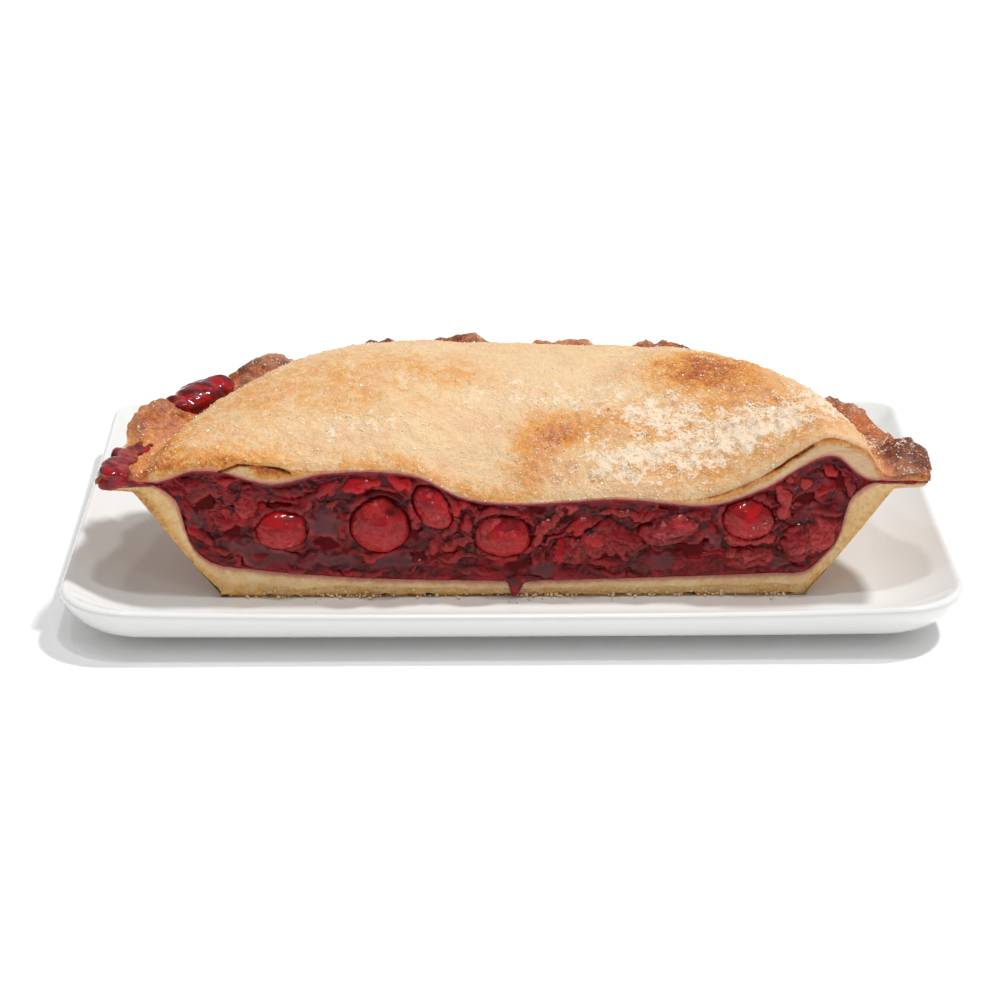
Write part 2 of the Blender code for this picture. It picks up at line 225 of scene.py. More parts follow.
def path_distance(x, z, path):
    """Distance from points (x, z) to a polyline, and the height above it of each point."""
    best = np.full(np.shape(x), 9.0)
    above = np.zeros(np.shape(x))
    for (x0, z0), (x1, z1) in zip(path, path[1:]):
        length = math.hypot(x1 - x0, z1 - z0)
        share = np.clip(((x - x0) * (x1 - x0) + (z - z0) * (z1 - z0)) / length ** 2, 0, 1)
        dx, dz = x - (x0 + share * (x1 - x0)), z - (z0 + share * (z1 - z0))
        distance = np.hypot(dx, dz)
        side = (x1 - x0) * (z - z0) - (z1 - z0) * (x - x0)
        nearer = distance < best
        above = np.where(nearer, np.sign(side) * distance, above)
        best = np.where(nearer, distance, best)
    return best, above


# ---------------------------------------------------------------- the pie's heights

def crimp(angle):
    """Height that the hand-pinched rim gains at angles in degrees."""
    return sum(height * np.exp(-np.abs((angle - centre) / half_width) ** 3)
               for centre, half_width, height in CRIMPS)


def crimp_share(angle):
    """How far an angle is on a crimp: 0 in a valley, 1 on a full crimp."""
    return np.minimum(1.0, crimp(angle) / CRIMP_FULL_HEIGHT)


def sag(y, radius):
    """Share with which the cut edge pulls the crust down: all at the cut, none at the rim."""
    stiffness = rise(RIM_SHOULDER_RADIUS, DOME_RADIUS, radius)
    return np.exp(-np.maximum(y, 0.0) / SAG_LENGTH) * (1.0 - stiffness)


def crease(x, y):
    """Depth of the crease beside the browned swelling."""
    (x0, y0), (x1, y1) = CREASE_ENDS
    length = math.hypot(x1 - x0, y1 - y0)
    on_line = ((x - x0) * (x1 - x0) + (y - y0) * (y1 - y0)) / length
    off_line = ((x - x0) * (y1 - y0) - (y - y0) * (x1 - x0)) / length
    ends = rise(-0.008, 0.008, on_line) * (1 - rise(length - 0.01, length + 0.006, on_line))
    return CREASE_DEPTH * ends * np.exp(-(off_line / CREASE_WIDTH) ** 2)


def crust_top(radius, angle):
    """Height of the crust's upper side at radii and angles in degrees."""
    x = radius * np.cos(np.radians(angle))
    y = radius * np.sin(np.radians(angle))
    share = np.minimum(radius / DOME_RADIUS, 1.0)
    dome = DOME_EDGE_HEIGHT + DOME_RISE * (1.0 - share ** 4)
    for swell_x, swell_y, height, spread in SWELLS:
        swell = np.exp(-((x - swell_x) ** 2 + (y - swell_y) ** 2) / (2 * spread ** 2))
        dome = dome + height * swell * (1.0 - rise(SWELL_FADE_RADIUS, DOME_RADIUS, radius))
    dome = dome - crease(x, y)
    pull = sag(y, radius)
    inner = dome * (1.0 - pull) + along(CUT_TOP, x) * pull
    crest = np.exp(-((radius - CRIMP_CREST_RADIUS) / CRIMP_CREST_WIDTH) ** 2)
    rim = RIM_VALLEY_HEIGHT + crimp(angle) * crest
    edge = rise(RIM_SHOULDER_RADIUS, DOME_RADIUS + 0.002, radius)
    return inner * (1.0 - edge) + rim * edge


def flange_top(angle):
    """Height of the bottom crust's flange, which follows the crimps a little."""
    return WALL_TOP_HEIGHT + FLANGE_THICKNESS + 0.15 * crimp(angle)


def crust_under(radius, angle):
    """Height of the crust's lower side above the filling."""
    x = radius * np.cos(np.radians(angle))
    y = radius * np.sin(np.radians(angle))
    pull = sag(y, radius)
    thickness = CRUST_THICKNESS * (1.0 - pull) + along(CUT_THICKNESS, x) * pull
    free = crust_top(radius, angle) - thickness
    seat = rise(0.08, FLANGE_INNER_RADIUS, radius)
    return free * (1.0 - seat) + (flange_top(angle) + GAP) * seat


def rim_radius(angle):
    """Radius of the rim's outer side."""
    return RIM_RADIUS + CRIMP_BULGE * (crimp_share(angle) - 0.5)


def base_top(radius, angle):
    """Height of the bottom crust's base inside, thicker at the left than at the right."""
    leftness = (1.0 - np.cos(np.radians(angle))) / 2.0
    return along(BASE_TOP_RIGHT, radius) * (1.0 - leftness) + along(BASE_TOP_LEFT, radius) * leftness


# ---------------------------------------------------------------- mesh tools

def grid_faces(rows, columns, first=0):
    """Quads of a grid of points numbered row by row."""
    corner = np.arange(rows * columns).reshape(rows, columns)[:-1, :-1].ravel()
    return np.stack([corner, corner + 1, corner + columns + 1, corner + columns], 1) + first


def fan(rings, crowding=0.0):
    """Ring numbers and angles in degrees of a half disc's square grid, its rays crowded to the cut."""
    u, v = np.meshgrid(np.arange(-rings, rings + 1), np.arange(rings + 1))
    v_even = v * (1 - crowding * np.exp(-v / 3.0))
    wide = np.abs(u) >= v
    angle = np.where(wide, 45.0 * v_even / np.maximum(np.abs(u), 1), 90.0 - 45.0 * u / np.maximum(v, 1))
    return np.maximum(np.abs(u), v), np.where(wide & (u < 0), 180.0 - angle, angle)


def spun(radius, angle, height):
    """Points (n, 3) at radii, angles in degrees and heights."""
    around = np.radians(angle)
    places = np.broadcast_arrays(radius * np.cos(around), radius * np.sin(around), height)
    return np.stack(places, -1).reshape(-1, 3)


def section_lines(pairs, angle):
    """Array (m, n, 2) from m pairs of radius and height, each one value or one for each angle."""
    return np.array([np.stack(np.broadcast_arrays(*pair, angle)[:2], -1) for pair in pairs])


def on_cut(x, z, y=0.0):
    """Points (n, 3) from grids of x and z on the cut's plane, or y behind it."""
    return np.stack(np.broadcast_arrays(x, y, z), -1).reshape(-1, 3)


def cut_noise(x, z, size, seed, stretch=1.0):
    """Noise on the cut's plane, drawn out along x where stretch is under 1."""
    return noise(on_cut(x, z) * np.array([stretch, 1, 1]), size, seed).reshape(np.shape(x))


def extend(masks, **more):
    """Give masks the values of further points."""
    for key, values in more.items():
        masks[key] = np.concatenate([masks[key], np.ravel(values)])


def vertex_values(mesh, key):
    """Places ("co") or normals ("normal") of a mesh's vertices, as an array (n, 3)."""
    values = np.empty(len(mesh.vertices) * 3)
    mesh.vertices.foreach_get(key, values)
    return values.reshape(-1, 3)


def link_object(name, data):
    """New object in the scene."""
    made = bpy.data.objects.new(name, data)
    bpy.context.scene.collection.objects.link(made)
    return made


def make_piece(name, points, faces, material, masks=None):
    """Smooth-shaded object from points (n, 3) in the pie's frame, riding on the one body."""
    mesh = bpy.data.meshes.new(name)
    placed = np.asarray(points) + np.array(AXIS)
    mesh.from_pydata(placed.tolist(), [], [list(map(int, face)) for face in faces])
    for key, values in (masks or {}).items():
        layer = mesh.attributes.new(key, "FLOAT", "POINT")
        layer.data.foreach_set("value", np.asarray(values, np.float32))
    mesh.shade_smooth()
    mesh.materials.append(material)
    made = link_object(name, mesh)
    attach(made, "root")
    return made


def grid_normals(points, rows, columns):
    """Unit normals of a grid of points, pointing to the left of its rows."""
    grid = points.reshape(rows, columns, 3)
    across = np.gradient(grid, axis=1)
    down = np.gradient(grid, axis=0)
    normals = np.cross(across, down).reshape(-1, 3)
    return normals / np.maximum(np.linalg.norm(normals, axis=1, keepdims=True), 1e-12)


def curve_through(controls, steps):
    """Catmull-Rom curve through controls (m, ..., 2), with steps[i] points for each span."""
    rows = []
    last = len(controls) - 1
    for index in range(last):
        p0 = controls[max(index - 1, 0)]
        p1, p2 = controls[index], controls[index + 1]
        p3 = controls[min(index + 2, last)]
        for step in range(steps[index]):
            t = step / steps[index]
            rows.append(0.5 * (2 * p1 + (p2 - p0) * t + (2 * p0 - 5 * p1 + 4 * p2 - p3) * t ** 2
                               + (3 * p1 - p0 - 3 * p2 + p3) * t ** 3))
    rows.append(controls[last])
    return np.array(rows)


# ---------------------------------------------------------------- material tools

class Nodes:
    """A material's node tree, with short calls for the nodes that the pie needs."""

    def __init__(self, name):
        self.material = bpy.data.materials.new(name)
        self.material.use_nodes = True
        self.tree = self.material.node_tree
        self.shader = self.tree.nodes["Principled BSDF"]
        self.place = self.tree.nodes.new("ShaderNodeTexCoord").outputs["Object"]

    def give(self, socket, value):
        """Link an output to a socket, or set the socket's own value."""
        if isinstance(value, bpy.types.NodeSocket):
            self.tree.links.new(value, socket)
        else:
            socket.default_value = value

    def set(self, **values):
        """Set sockets of the principled shader: underscores stand for blanks."""
        for key, value in values.items():
            self.give(self.shader.inputs[key.replace("_", " ")], value)

    def mask(self, name):
        """A mask painted on the mesh by its shape."""
        node = self.tree.nodes.new("ShaderNodeAttribute")
        node.attribute_name = name
        return node.outputs["Fac"]

    def noise(self, size, detail=3.0, roughness=0.55, distortion=0.0):
        """Noise with features of a size in metres."""
        node = self.tree.nodes.new("ShaderNodeTexNoise")
        for key, value in (("Vector", self.place), ("Scale", 1.0 / size), ("Detail", detail),
                           ("Roughness", roughness), ("Distortion", distortion)):
            self.give(node.inputs[key], value)
        return node.outputs["Fac"]

    def calc(self, operation, first, second):
        """Arithmetic on two values."""
        node = self.tree.nodes.new("ShaderNodeMath")
        node.operation = operation
        self.give(node.inputs[0], first)
        self.give(node.inputs[1], second)
        return node.outputs[0]

    def plus(self, first, second):
        """Sum of two values."""
        return self.calc("ADD", first, second)

    def times(self, first, second):
        """Product of two values."""
        return self.calc("MULTIPLY", first, second)

    def centred(self, value, share):
        """A noise of 0 to 1 made to swing round 0, times a share."""
        return self.times(self.calc("SUBTRACT", value, 0.5), share)

    def soften(self, weight, reach):
        """Light under the surface, with its reach in metres for red, green and blue."""
        self.set(Subsurface_Weight=weight, Subsurface_Radius=reach, Subsurface_Scale=1.0)

    def wet(self, weight, ior, roughness):
        """Clear wet coat."""
        self.set(Coat_Weight=weight, Coat_IOR=ior, Coat_Roughness=roughness)

    def fit(self, value, low, high, to_low=0.0, to_high=1.0):
        """Map a value from one range to another, smoothly and clamped."""
        node = self.tree.nodes.new("ShaderNodeMapRange")
        node.interpolation_type = "SMOOTHSTEP"
        for key, item in (("Value", value), ("From Min", low), ("From Max", high),
                          ("To Min", to_low), ("To Max", to_high)):
            self.give(node.inputs[key], item)
        return node.outputs[0]

    def mix(self, share, first, second):
        """Mix two colours."""
        node = self.tree.nodes.new("ShaderNodeMix")
        node.data_type = "RGBA"
        self.give(node.inputs[0], share)
        for socket, colour in ((node.inputs[6], first), (node.inputs[7], second)):
            self.give(socket, colour if isinstance(colour, bpy.types.NodeSocket) else (*colour, 1.0))
        return node.outputs[2]

    def bump(self, height, distance, strength, below=None):
        """Bump from a height of 0 to 1 that stands for a distance in metres."""
        node = self.tree.nodes.new("ShaderNodeBump")
        node.inputs["Strength"].default_value = strength
        node.inputs["Distance"].default_value = distance
        self.give(node.inputs["Height"], height)
        if below is not None:
            self.give(node.inputs["Normal"], below)
        return node.outputs["Normal"]


def srgb(red, green, blue):
    """Linear colour from values of 0 to 255."""
    return tuple(((c / 255 + 0.055) / 1.055) ** 2.4 if c > 10 else c / 255 / 12.92
                 for c in (red, green, blue))


def crust_material(name, pale, golden, brown, dark, mottle):
    """Baked pastry: pale dough that browns by its masks, with sugar and soaked juice."""
    nodes = Nodes(name)
    patchy = nodes.noise(0.0085, detail=5.0, roughness=0.6)
    blotch = nodes.noise(0.0032, detail=4.0, roughness=0.62)
    grain = nodes.noise(0.00062, detail=3.0, roughness=0.65)
    speck = nodes.noise(0.00125, detail=3.0, roughness=0.6)
    clump = nodes.noise(0.0036, detail=6.0, roughness=0.74, distortion=0.3)
    # The browning mask also carries painted shade: the dark crack grooves of the lid's cut face.
    browned = nodes.fit(nodes.mask("browning"), 0.05, 0.6, 0.5, 1.6)

    uneven = nodes.centred(patchy, 0.6 * mottle)
    for value, share in ((blotch, 0.55), (speck, 0.55), (grain, 0.85)):
        uneven = nodes.plus(uneven, nodes.centred(value, share * mottle))
    uneven = nodes.plus(nodes.times(uneven, browned), nodes.centred(clump, 0.8 * mottle))
    toned = nodes.plus(nodes.mask("browning"), uneven)
    caked = nodes.plus(nodes.mask("sugar"), nodes.centred(clump, 2.6 * mottle))
    caked = nodes.plus(nodes.plus(caked, nodes.centred(speck, 0.9 * mottle)),
                       nodes.centred(grain, 1.2 * mottle))
    soaked = nodes.plus(nodes.mask("soaked"), nodes.centred(speck, 0.3))
    colour = pale
    for share, tint in (
        (nodes.fit(toned, -0.02, 0.42), golden), (nodes.fit(toned, 0.38, 0.78), brown),
        (nodes.fit(toned, 0.76, 1.25), dark),
        # The dome blushes pink in blotches where juice steams through.
        (nodes.fit(nodes.noise(0.012, detail=3.0), 0.42, 0.66, 0.0, 0.3 * mottle), srgb(228, 172, 138)),
        # Sugar crust: pale grains that show most on the browned places.
        (nodes.fit(caked, 0.44, 0.66, 0.0, 0.88), srgb(250, 230, 204)),
        # Juice soaks in from the filling: pink, then dark red right against it.
        (nodes.fit(soaked, 0.08, 0.52, 0.0, 0.85), srgb(206, 128, 116)),
        (nodes.fit(soaked, 0.5, 0.92, 0.0, 0.95), srgb(128, 26, 40)),
    ):
        colour = nodes.mix(share, colour, tint)
    nodes.set(Base_Color=colour, Roughness=nodes.fit(toned, 0.0, 1.1, 0.58, 0.3), Specular_IOR_Level=0.4)
    nodes.soften(0.15, (0.0016, 0.0008, 0.0004))
    rough = nodes.plus(speck, nodes.times(clump, 1.2))
    nodes.set(Normal=nodes.bump(rough, 0.00055, 0.9, nodes.bump(grain, 0.0003, 0.9)))
    return nodes.material


# ---------------------------------------------------------------- camera, floor and light

CAMERA_PLACE = (-0.0115, -0.682, 0.3017)  # from the pie's axis
CAMERA_ANGLES = (math.radians(22.0), math.radians(0.67))  # down, and to the right
LENS = 105.59
WORLD_STRENGTH = 0.38
SUN_STRENGTH = 2.15
SUN_ANGLE = 6.0
SUN_RAY = ((0.5, 0.2, 1.0), (-0.47, -0.18, -1.0))  # a place on it and its direction
LAMPS = (  # name, place, size, power
    ("overhead", (0.02, -0.16, 1.2), 0.09, 2.4), ("overhead_left", (-0.26, -0.2, 1.1), 0.07, 0.8),
    ("front_high", (0.12, -0.8, 1.05), 0.07, 0.45),
)
LAMP_AIM = Vector((0.0, 0.0, 0.03))


def look_along(place, forward):
    """Matrix of an object at a place that looks along a direction, level at the sides."""
    forward = Vector(forward).normalized()
    upward = Vector((0, 0, 1)) if abs(forward.z) < 0.999 else Vector((0, 1, 0))
    right = forward.cross(upward).normalized()
    up = right.cross(forward)
    matrix = Matrix((right, up, -forward)).transposed().to_4x4()
    matrix.translation = place
    return matrix


def build_stage():
    """Camera, plain white floor and soft studio light."""
    scene = bpy.context.scene
    camera = link_object("camera", bpy.data.cameras.new("camera"))
    pitch, turn = CAMERA_ANGLES
    camera.matrix_world = look_along([at + beside for at, beside in zip(AXIS, CAMERA_PLACE)], (
        math.sin(turn) * math.cos(pitch), math.cos(turn) * math.cos(pitch), -math.sin(pitch)))
    camera.data.sensor_width = 36.0
    camera.data.lens = LENS
    camera.data.clip_start = 0.05
    scene.camera = camera
    scene.view_settings.view_transform = "Standard"

    nodes = Nodes("floor_white")
    nodes.set(Base_Color=(0.97, 0.97, 0.97, 1.0), Roughness=0.9, Specular_IOR_Level=0.2)
    nodes.set(Emission_Color=(1.0, 1.0, 1.0, 1.0), Emission_Strength=0.04)
    bm = bmesh.new()
    bmesh.ops.create_grid(bm, x_segments=8, y_segments=8, size=4.0)
    mesh = bpy.data.meshes.new("floor")
    bm.to_mesh(mesh)
    bm.free()
    mesh.materials.append(nodes.material)
    floor = link_object("floor", mesh)
    floor.location.z = CAD_BOX[0][2] - 0.00005

    world = bpy.data.worlds.new("studio")
    world.use_nodes = True
    background = world.node_tree.nodes["Background"]
    background.inputs["Color"].default_value = (1.0, 1.0, 1.0, 1.0)
    background.inputs["Strength"].default_value = WORLD_STRENGTH
    scene.world = world

    sun = link_object("key", bpy.data.lights.new("key", "SUN"))
    sun.data.energy = SUN_STRENGTH
    sun.data.angle = math.radians(SUN_ANGLE)
    sun.matrix_world = look_along(*SUN_RAY)

    for name, place, size, power in LAMPS:
        lamp = link_object(name, bpy.data.lights.new(name, "AREA"))
        lamp.data.size, lamp.data.energy = size, power
        lamp.matrix_world = look_along(place, LAMP_AIM - Vector(place))


# ---------------------------------------------------------------- plate

PLATE_CORNER_RADII = {"front": 0.019, "back": 0.007}
PLATE_INNER_CORNER_RADIUS = 0.006
PLATE_CORNER_LIFT = 0.0012
PLATE_LIP_HEIGHT = 0.0125
PLATE_FLOOR_HEIGHT = 0.0055
PLATE_FLOOR_INSET = 0.021
PLATE_FOOT_INSET = 0.0265
PLATE_FOOT_WIDTH = 0.004
PLATE_RECESS = 0.0014


def plate_ring(half_length, half_depth, inset, height, lift):
    """Points of one outline of the plate, inset from its edge, its corners lifted."""
    corner_steps, long_steps, short_steps = 14, 70, 44
    half_x, half_y = half_length - inset, half_depth - inset
    arcs = []
    for quarter in range(4):
        outer = PLATE_CORNER_RADII["back" if quarter < 2 else "front"]
        radius = max(outer - inset * 0.5, PLATE_INNER_CORNER_RADIUS)
        centre_x = (1, -1, -1, 1)[quarter] * (half_x - radius)
        centre_y = (1, 1, -1, -1)[quarter] * (half_y - radius)
        angles = (quarter + np.arange(corner_steps + 1) / corner_steps) * math.pi / 2
        arcs.append(np.stack([centre_x + radius * np.cos(angles), centre_y + radius * np.sin(angles)], 1))
    points = []
    for quarter in range(4):
        start, end = arcs[quarter][-1], arcs[(quarter + 1) % 4][0]
        steps = (long_steps, short_steps)[quarter % 2]
        shares = (np.arange(1, steps) / steps)[:, None]
        points += [arcs[quarter], start * (1 - shares) + end * shares]
    points = np.concatenate(points)
    nearness = (np.abs(points[:, 0]) / half_x * np.abs(points[:, 1]) / half_y) ** 3
    return np.column_stack([points, height + lift * np.minimum(1.0, nearness * 1.6)])


def build_plate():
    """White porcelain plate: its sides curve up to a thin rounded lip."""
    low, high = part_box("plate")
    half_length, half_depth = (high.x - low.x) / 2, (high.y - low.y) / 2
    lip, lift = PLATE_LIP_HEIGHT, PLATE_CORNER_LIFT
    foot_inner = PLATE_FOOT_INSET + PLATE_FOOT_WIDTH
    under = np.array([
        (foot_inner + 0.0012, PLATE_RECESS, 0.0), (foot_inner + 0.0003, 0.0003, 0.0),
        (foot_inner - 0.0006, 0.0, 0.0), (PLATE_FOOT_INSET + 0.0006, 0.0, 0.0),
        (PLATE_FOOT_INSET - 0.0004, 0.0004, 0.0), (0.024, 0.0008, 0.0), (0.013, 0.0025, 0.0),
        (0.006, 0.0042, 0.2 * lift), (0.003, 0.0062, 0.6 * lift), (0.001, 0.009, 0.9 * lift),
        (0.0, lip - 0.0012, lift), (0.0004, lip - 0.0003, lift), (0.0013, lip, lift),
        (0.0026, lip - 0.0008, lift),
    ])
    stations = list(curve_through(under, [2, 3, 1, 3, 2, 5, 5, 3, 4, 4, 3, 3, 3]))
    wall_inset, wall_height, _ = under[-1]
    wall_steps = 30
    for step in range(1, wall_steps + 1):
        share = step / wall_steps
        fall = (1.0 - share) ** 1.9
        stations.append((wall_inset + (PLATE_FLOOR_INSET - wall_inset) * share,
                         PLATE_FLOOR_HEIGHT + (wall_height - PLATE_FLOOR_HEIGHT) * fall, lift * fall))
    stations += [(PLATE_FLOOR_INSET + extra, PLATE_FLOOR_HEIGHT, 0.0) for extra in (0.004, 0.012, 0.026)]
    rings = [plate_ring(half_length, half_depth, *station) for station in stations]
    count = len(rings[0])
    points = np.concatenate(rings) - np.array(AXIS)
    points[:, :2] += np.array([(low.x + high.x) / 2, (low.y + high.y) / 2])
    faces = []
    for start in range(0, (len(rings) - 1) * count, count):
        for index in range(count):
            after = (index + 1) % count
            faces.append((start + index, start + after, start + count + after, start + count + index))
    faces.append(tuple(range(count))[::-1])
    faces.append(tuple(range((len(rings) - 1) * count, len(rings) * count)))

    nodes = Nodes("porcelain_glaze")
    cloud = nodes.noise(0.03, detail=2.0)
    nodes.set(Base_Color=nodes.mix(cloud, (0.805, 0.81, 0.795), (0.835, 0.84, 0.828)))
    nodes.set(Roughness=nodes.fit(nodes.noise(0.012, detail=3.0), 0.3, 0.7, 0.11, 0.15))
    nodes.set(Normal=nodes.bump(nodes.noise(0.022, detail=1.0), 0.00006, 0.4))
    plate = make_piece("porcelain_plate", points, faces, nodes.material)
    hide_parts("plate")


# ---------------------------------------------------------------- top crust

CRACK_LEFT = ((-0.0735, 0.0342), (-0.069, 0.0357), (-0.064, 0.0361), (-0.06, 0.0352), (-0.056, 0.0338))
CRACK_RIGHT = ((0.049, 0.027), (0.055, 0.0292), (0.06, 0.0318), (0.066, 0.0344),
               (0.07, 0.0372), (0.0745, 0.0402))
LID_INNER_RADIUS = 0.0965  # where the lid's grid ends and its rolled rim starts
RELIEF_BIAS = -0.3  # keeps the relief inside the CAD's box
# Browned and sugared places of the lid: (strength, x, y, half x, half y, turn), in millimetres
# and degrees.
BROWNED = (
    (0.46, 10, 15, 8, 6, 20), (0.3, 30, 17, 22, 5, 0), (0.66, 50, 36, 15, 11, -12),
    (0.3, 55, 45, 9, 6, 0), (0.34, 74, 13, 10, 9, -25), (0.22, 66, 22, 12, 7, 0),
    (0.24, 44, 5, 30, 3.5, 0), (0.26, 5, 7, 5, 6, 0), (0.18, -14, 35, 12, 6, 0),
    (0.16, -45, 26, 16, 12, 0), (0.18, -68, 34, 9, 12, 0), (0.12, -30, 44, 26, 7, 0),
    (0.26, -86, 10, 7, 12, 0), (0.16, 46, 12, 26, 9, 0), (-0.1, 10, 42, 18, 10, 0),
    (-0.06, -20, 10, 20, 8, 0), (-0.05, -4, 22, 8, 10, 0),
)
SUGARED = (
    (0.56, 50, 10, 24, 7, 0), (0.5, 26, 6, 14, 5, 0), (0.5, 80, 22, 9, 12, 60),
    (0.48, 38, 19, 14, 4, 0), (0.4, 66, 14, 12, 8, 0), (0.34, 30, 26, 20, 7, 0),
    (0.2, -10, 28, 12, 8, 0), (0.15, -50, 14, 22, 8, 0), (0.22, -40, 12, 16, 5, 0),
    (0.2, 6, 30, 16, 8, 0),
)


def browning_of(x, y, radius, angle):
    """How far the crust's top has browned: 0 pale, 1 dark; x, y and radius in millimetres."""
    tone = 0.07 + 0.05 * rise(-20, -80, x) + spots(x, y, BROWNED)
    tone += 0.36 * bell(y, 0, 4.5) * rise(-50, -70, x)
    tone += 0.2 * bell(y, 1, 3.0) * bell(x, -30, 16) + 0.24 * bell(y, 0, 2.2) * bell(x, -8, 9)
    crest = rise(89, 97, radius) * (0.4 + 0.6 * crimp_share(angle))
    tone += 0.7 * crest * (0.9 + 0.3 * bell(angle, 110, 30) - 0.35 * bell(angle, 170, 12))
    tone += 0.34 * rise(92, 97, radius) * rise(30, 80, x)
    return tone + 0.22 * rise(84, 92, radius)


def sugar_of(x, y, radius):
    """Share of caked sugar on the crust's top; lengths in millimetres."""
    return spots(x, y, SUGARED) + 0.08 + 0.08 * rise(93, 99, radius) * rise(0, 80, x)


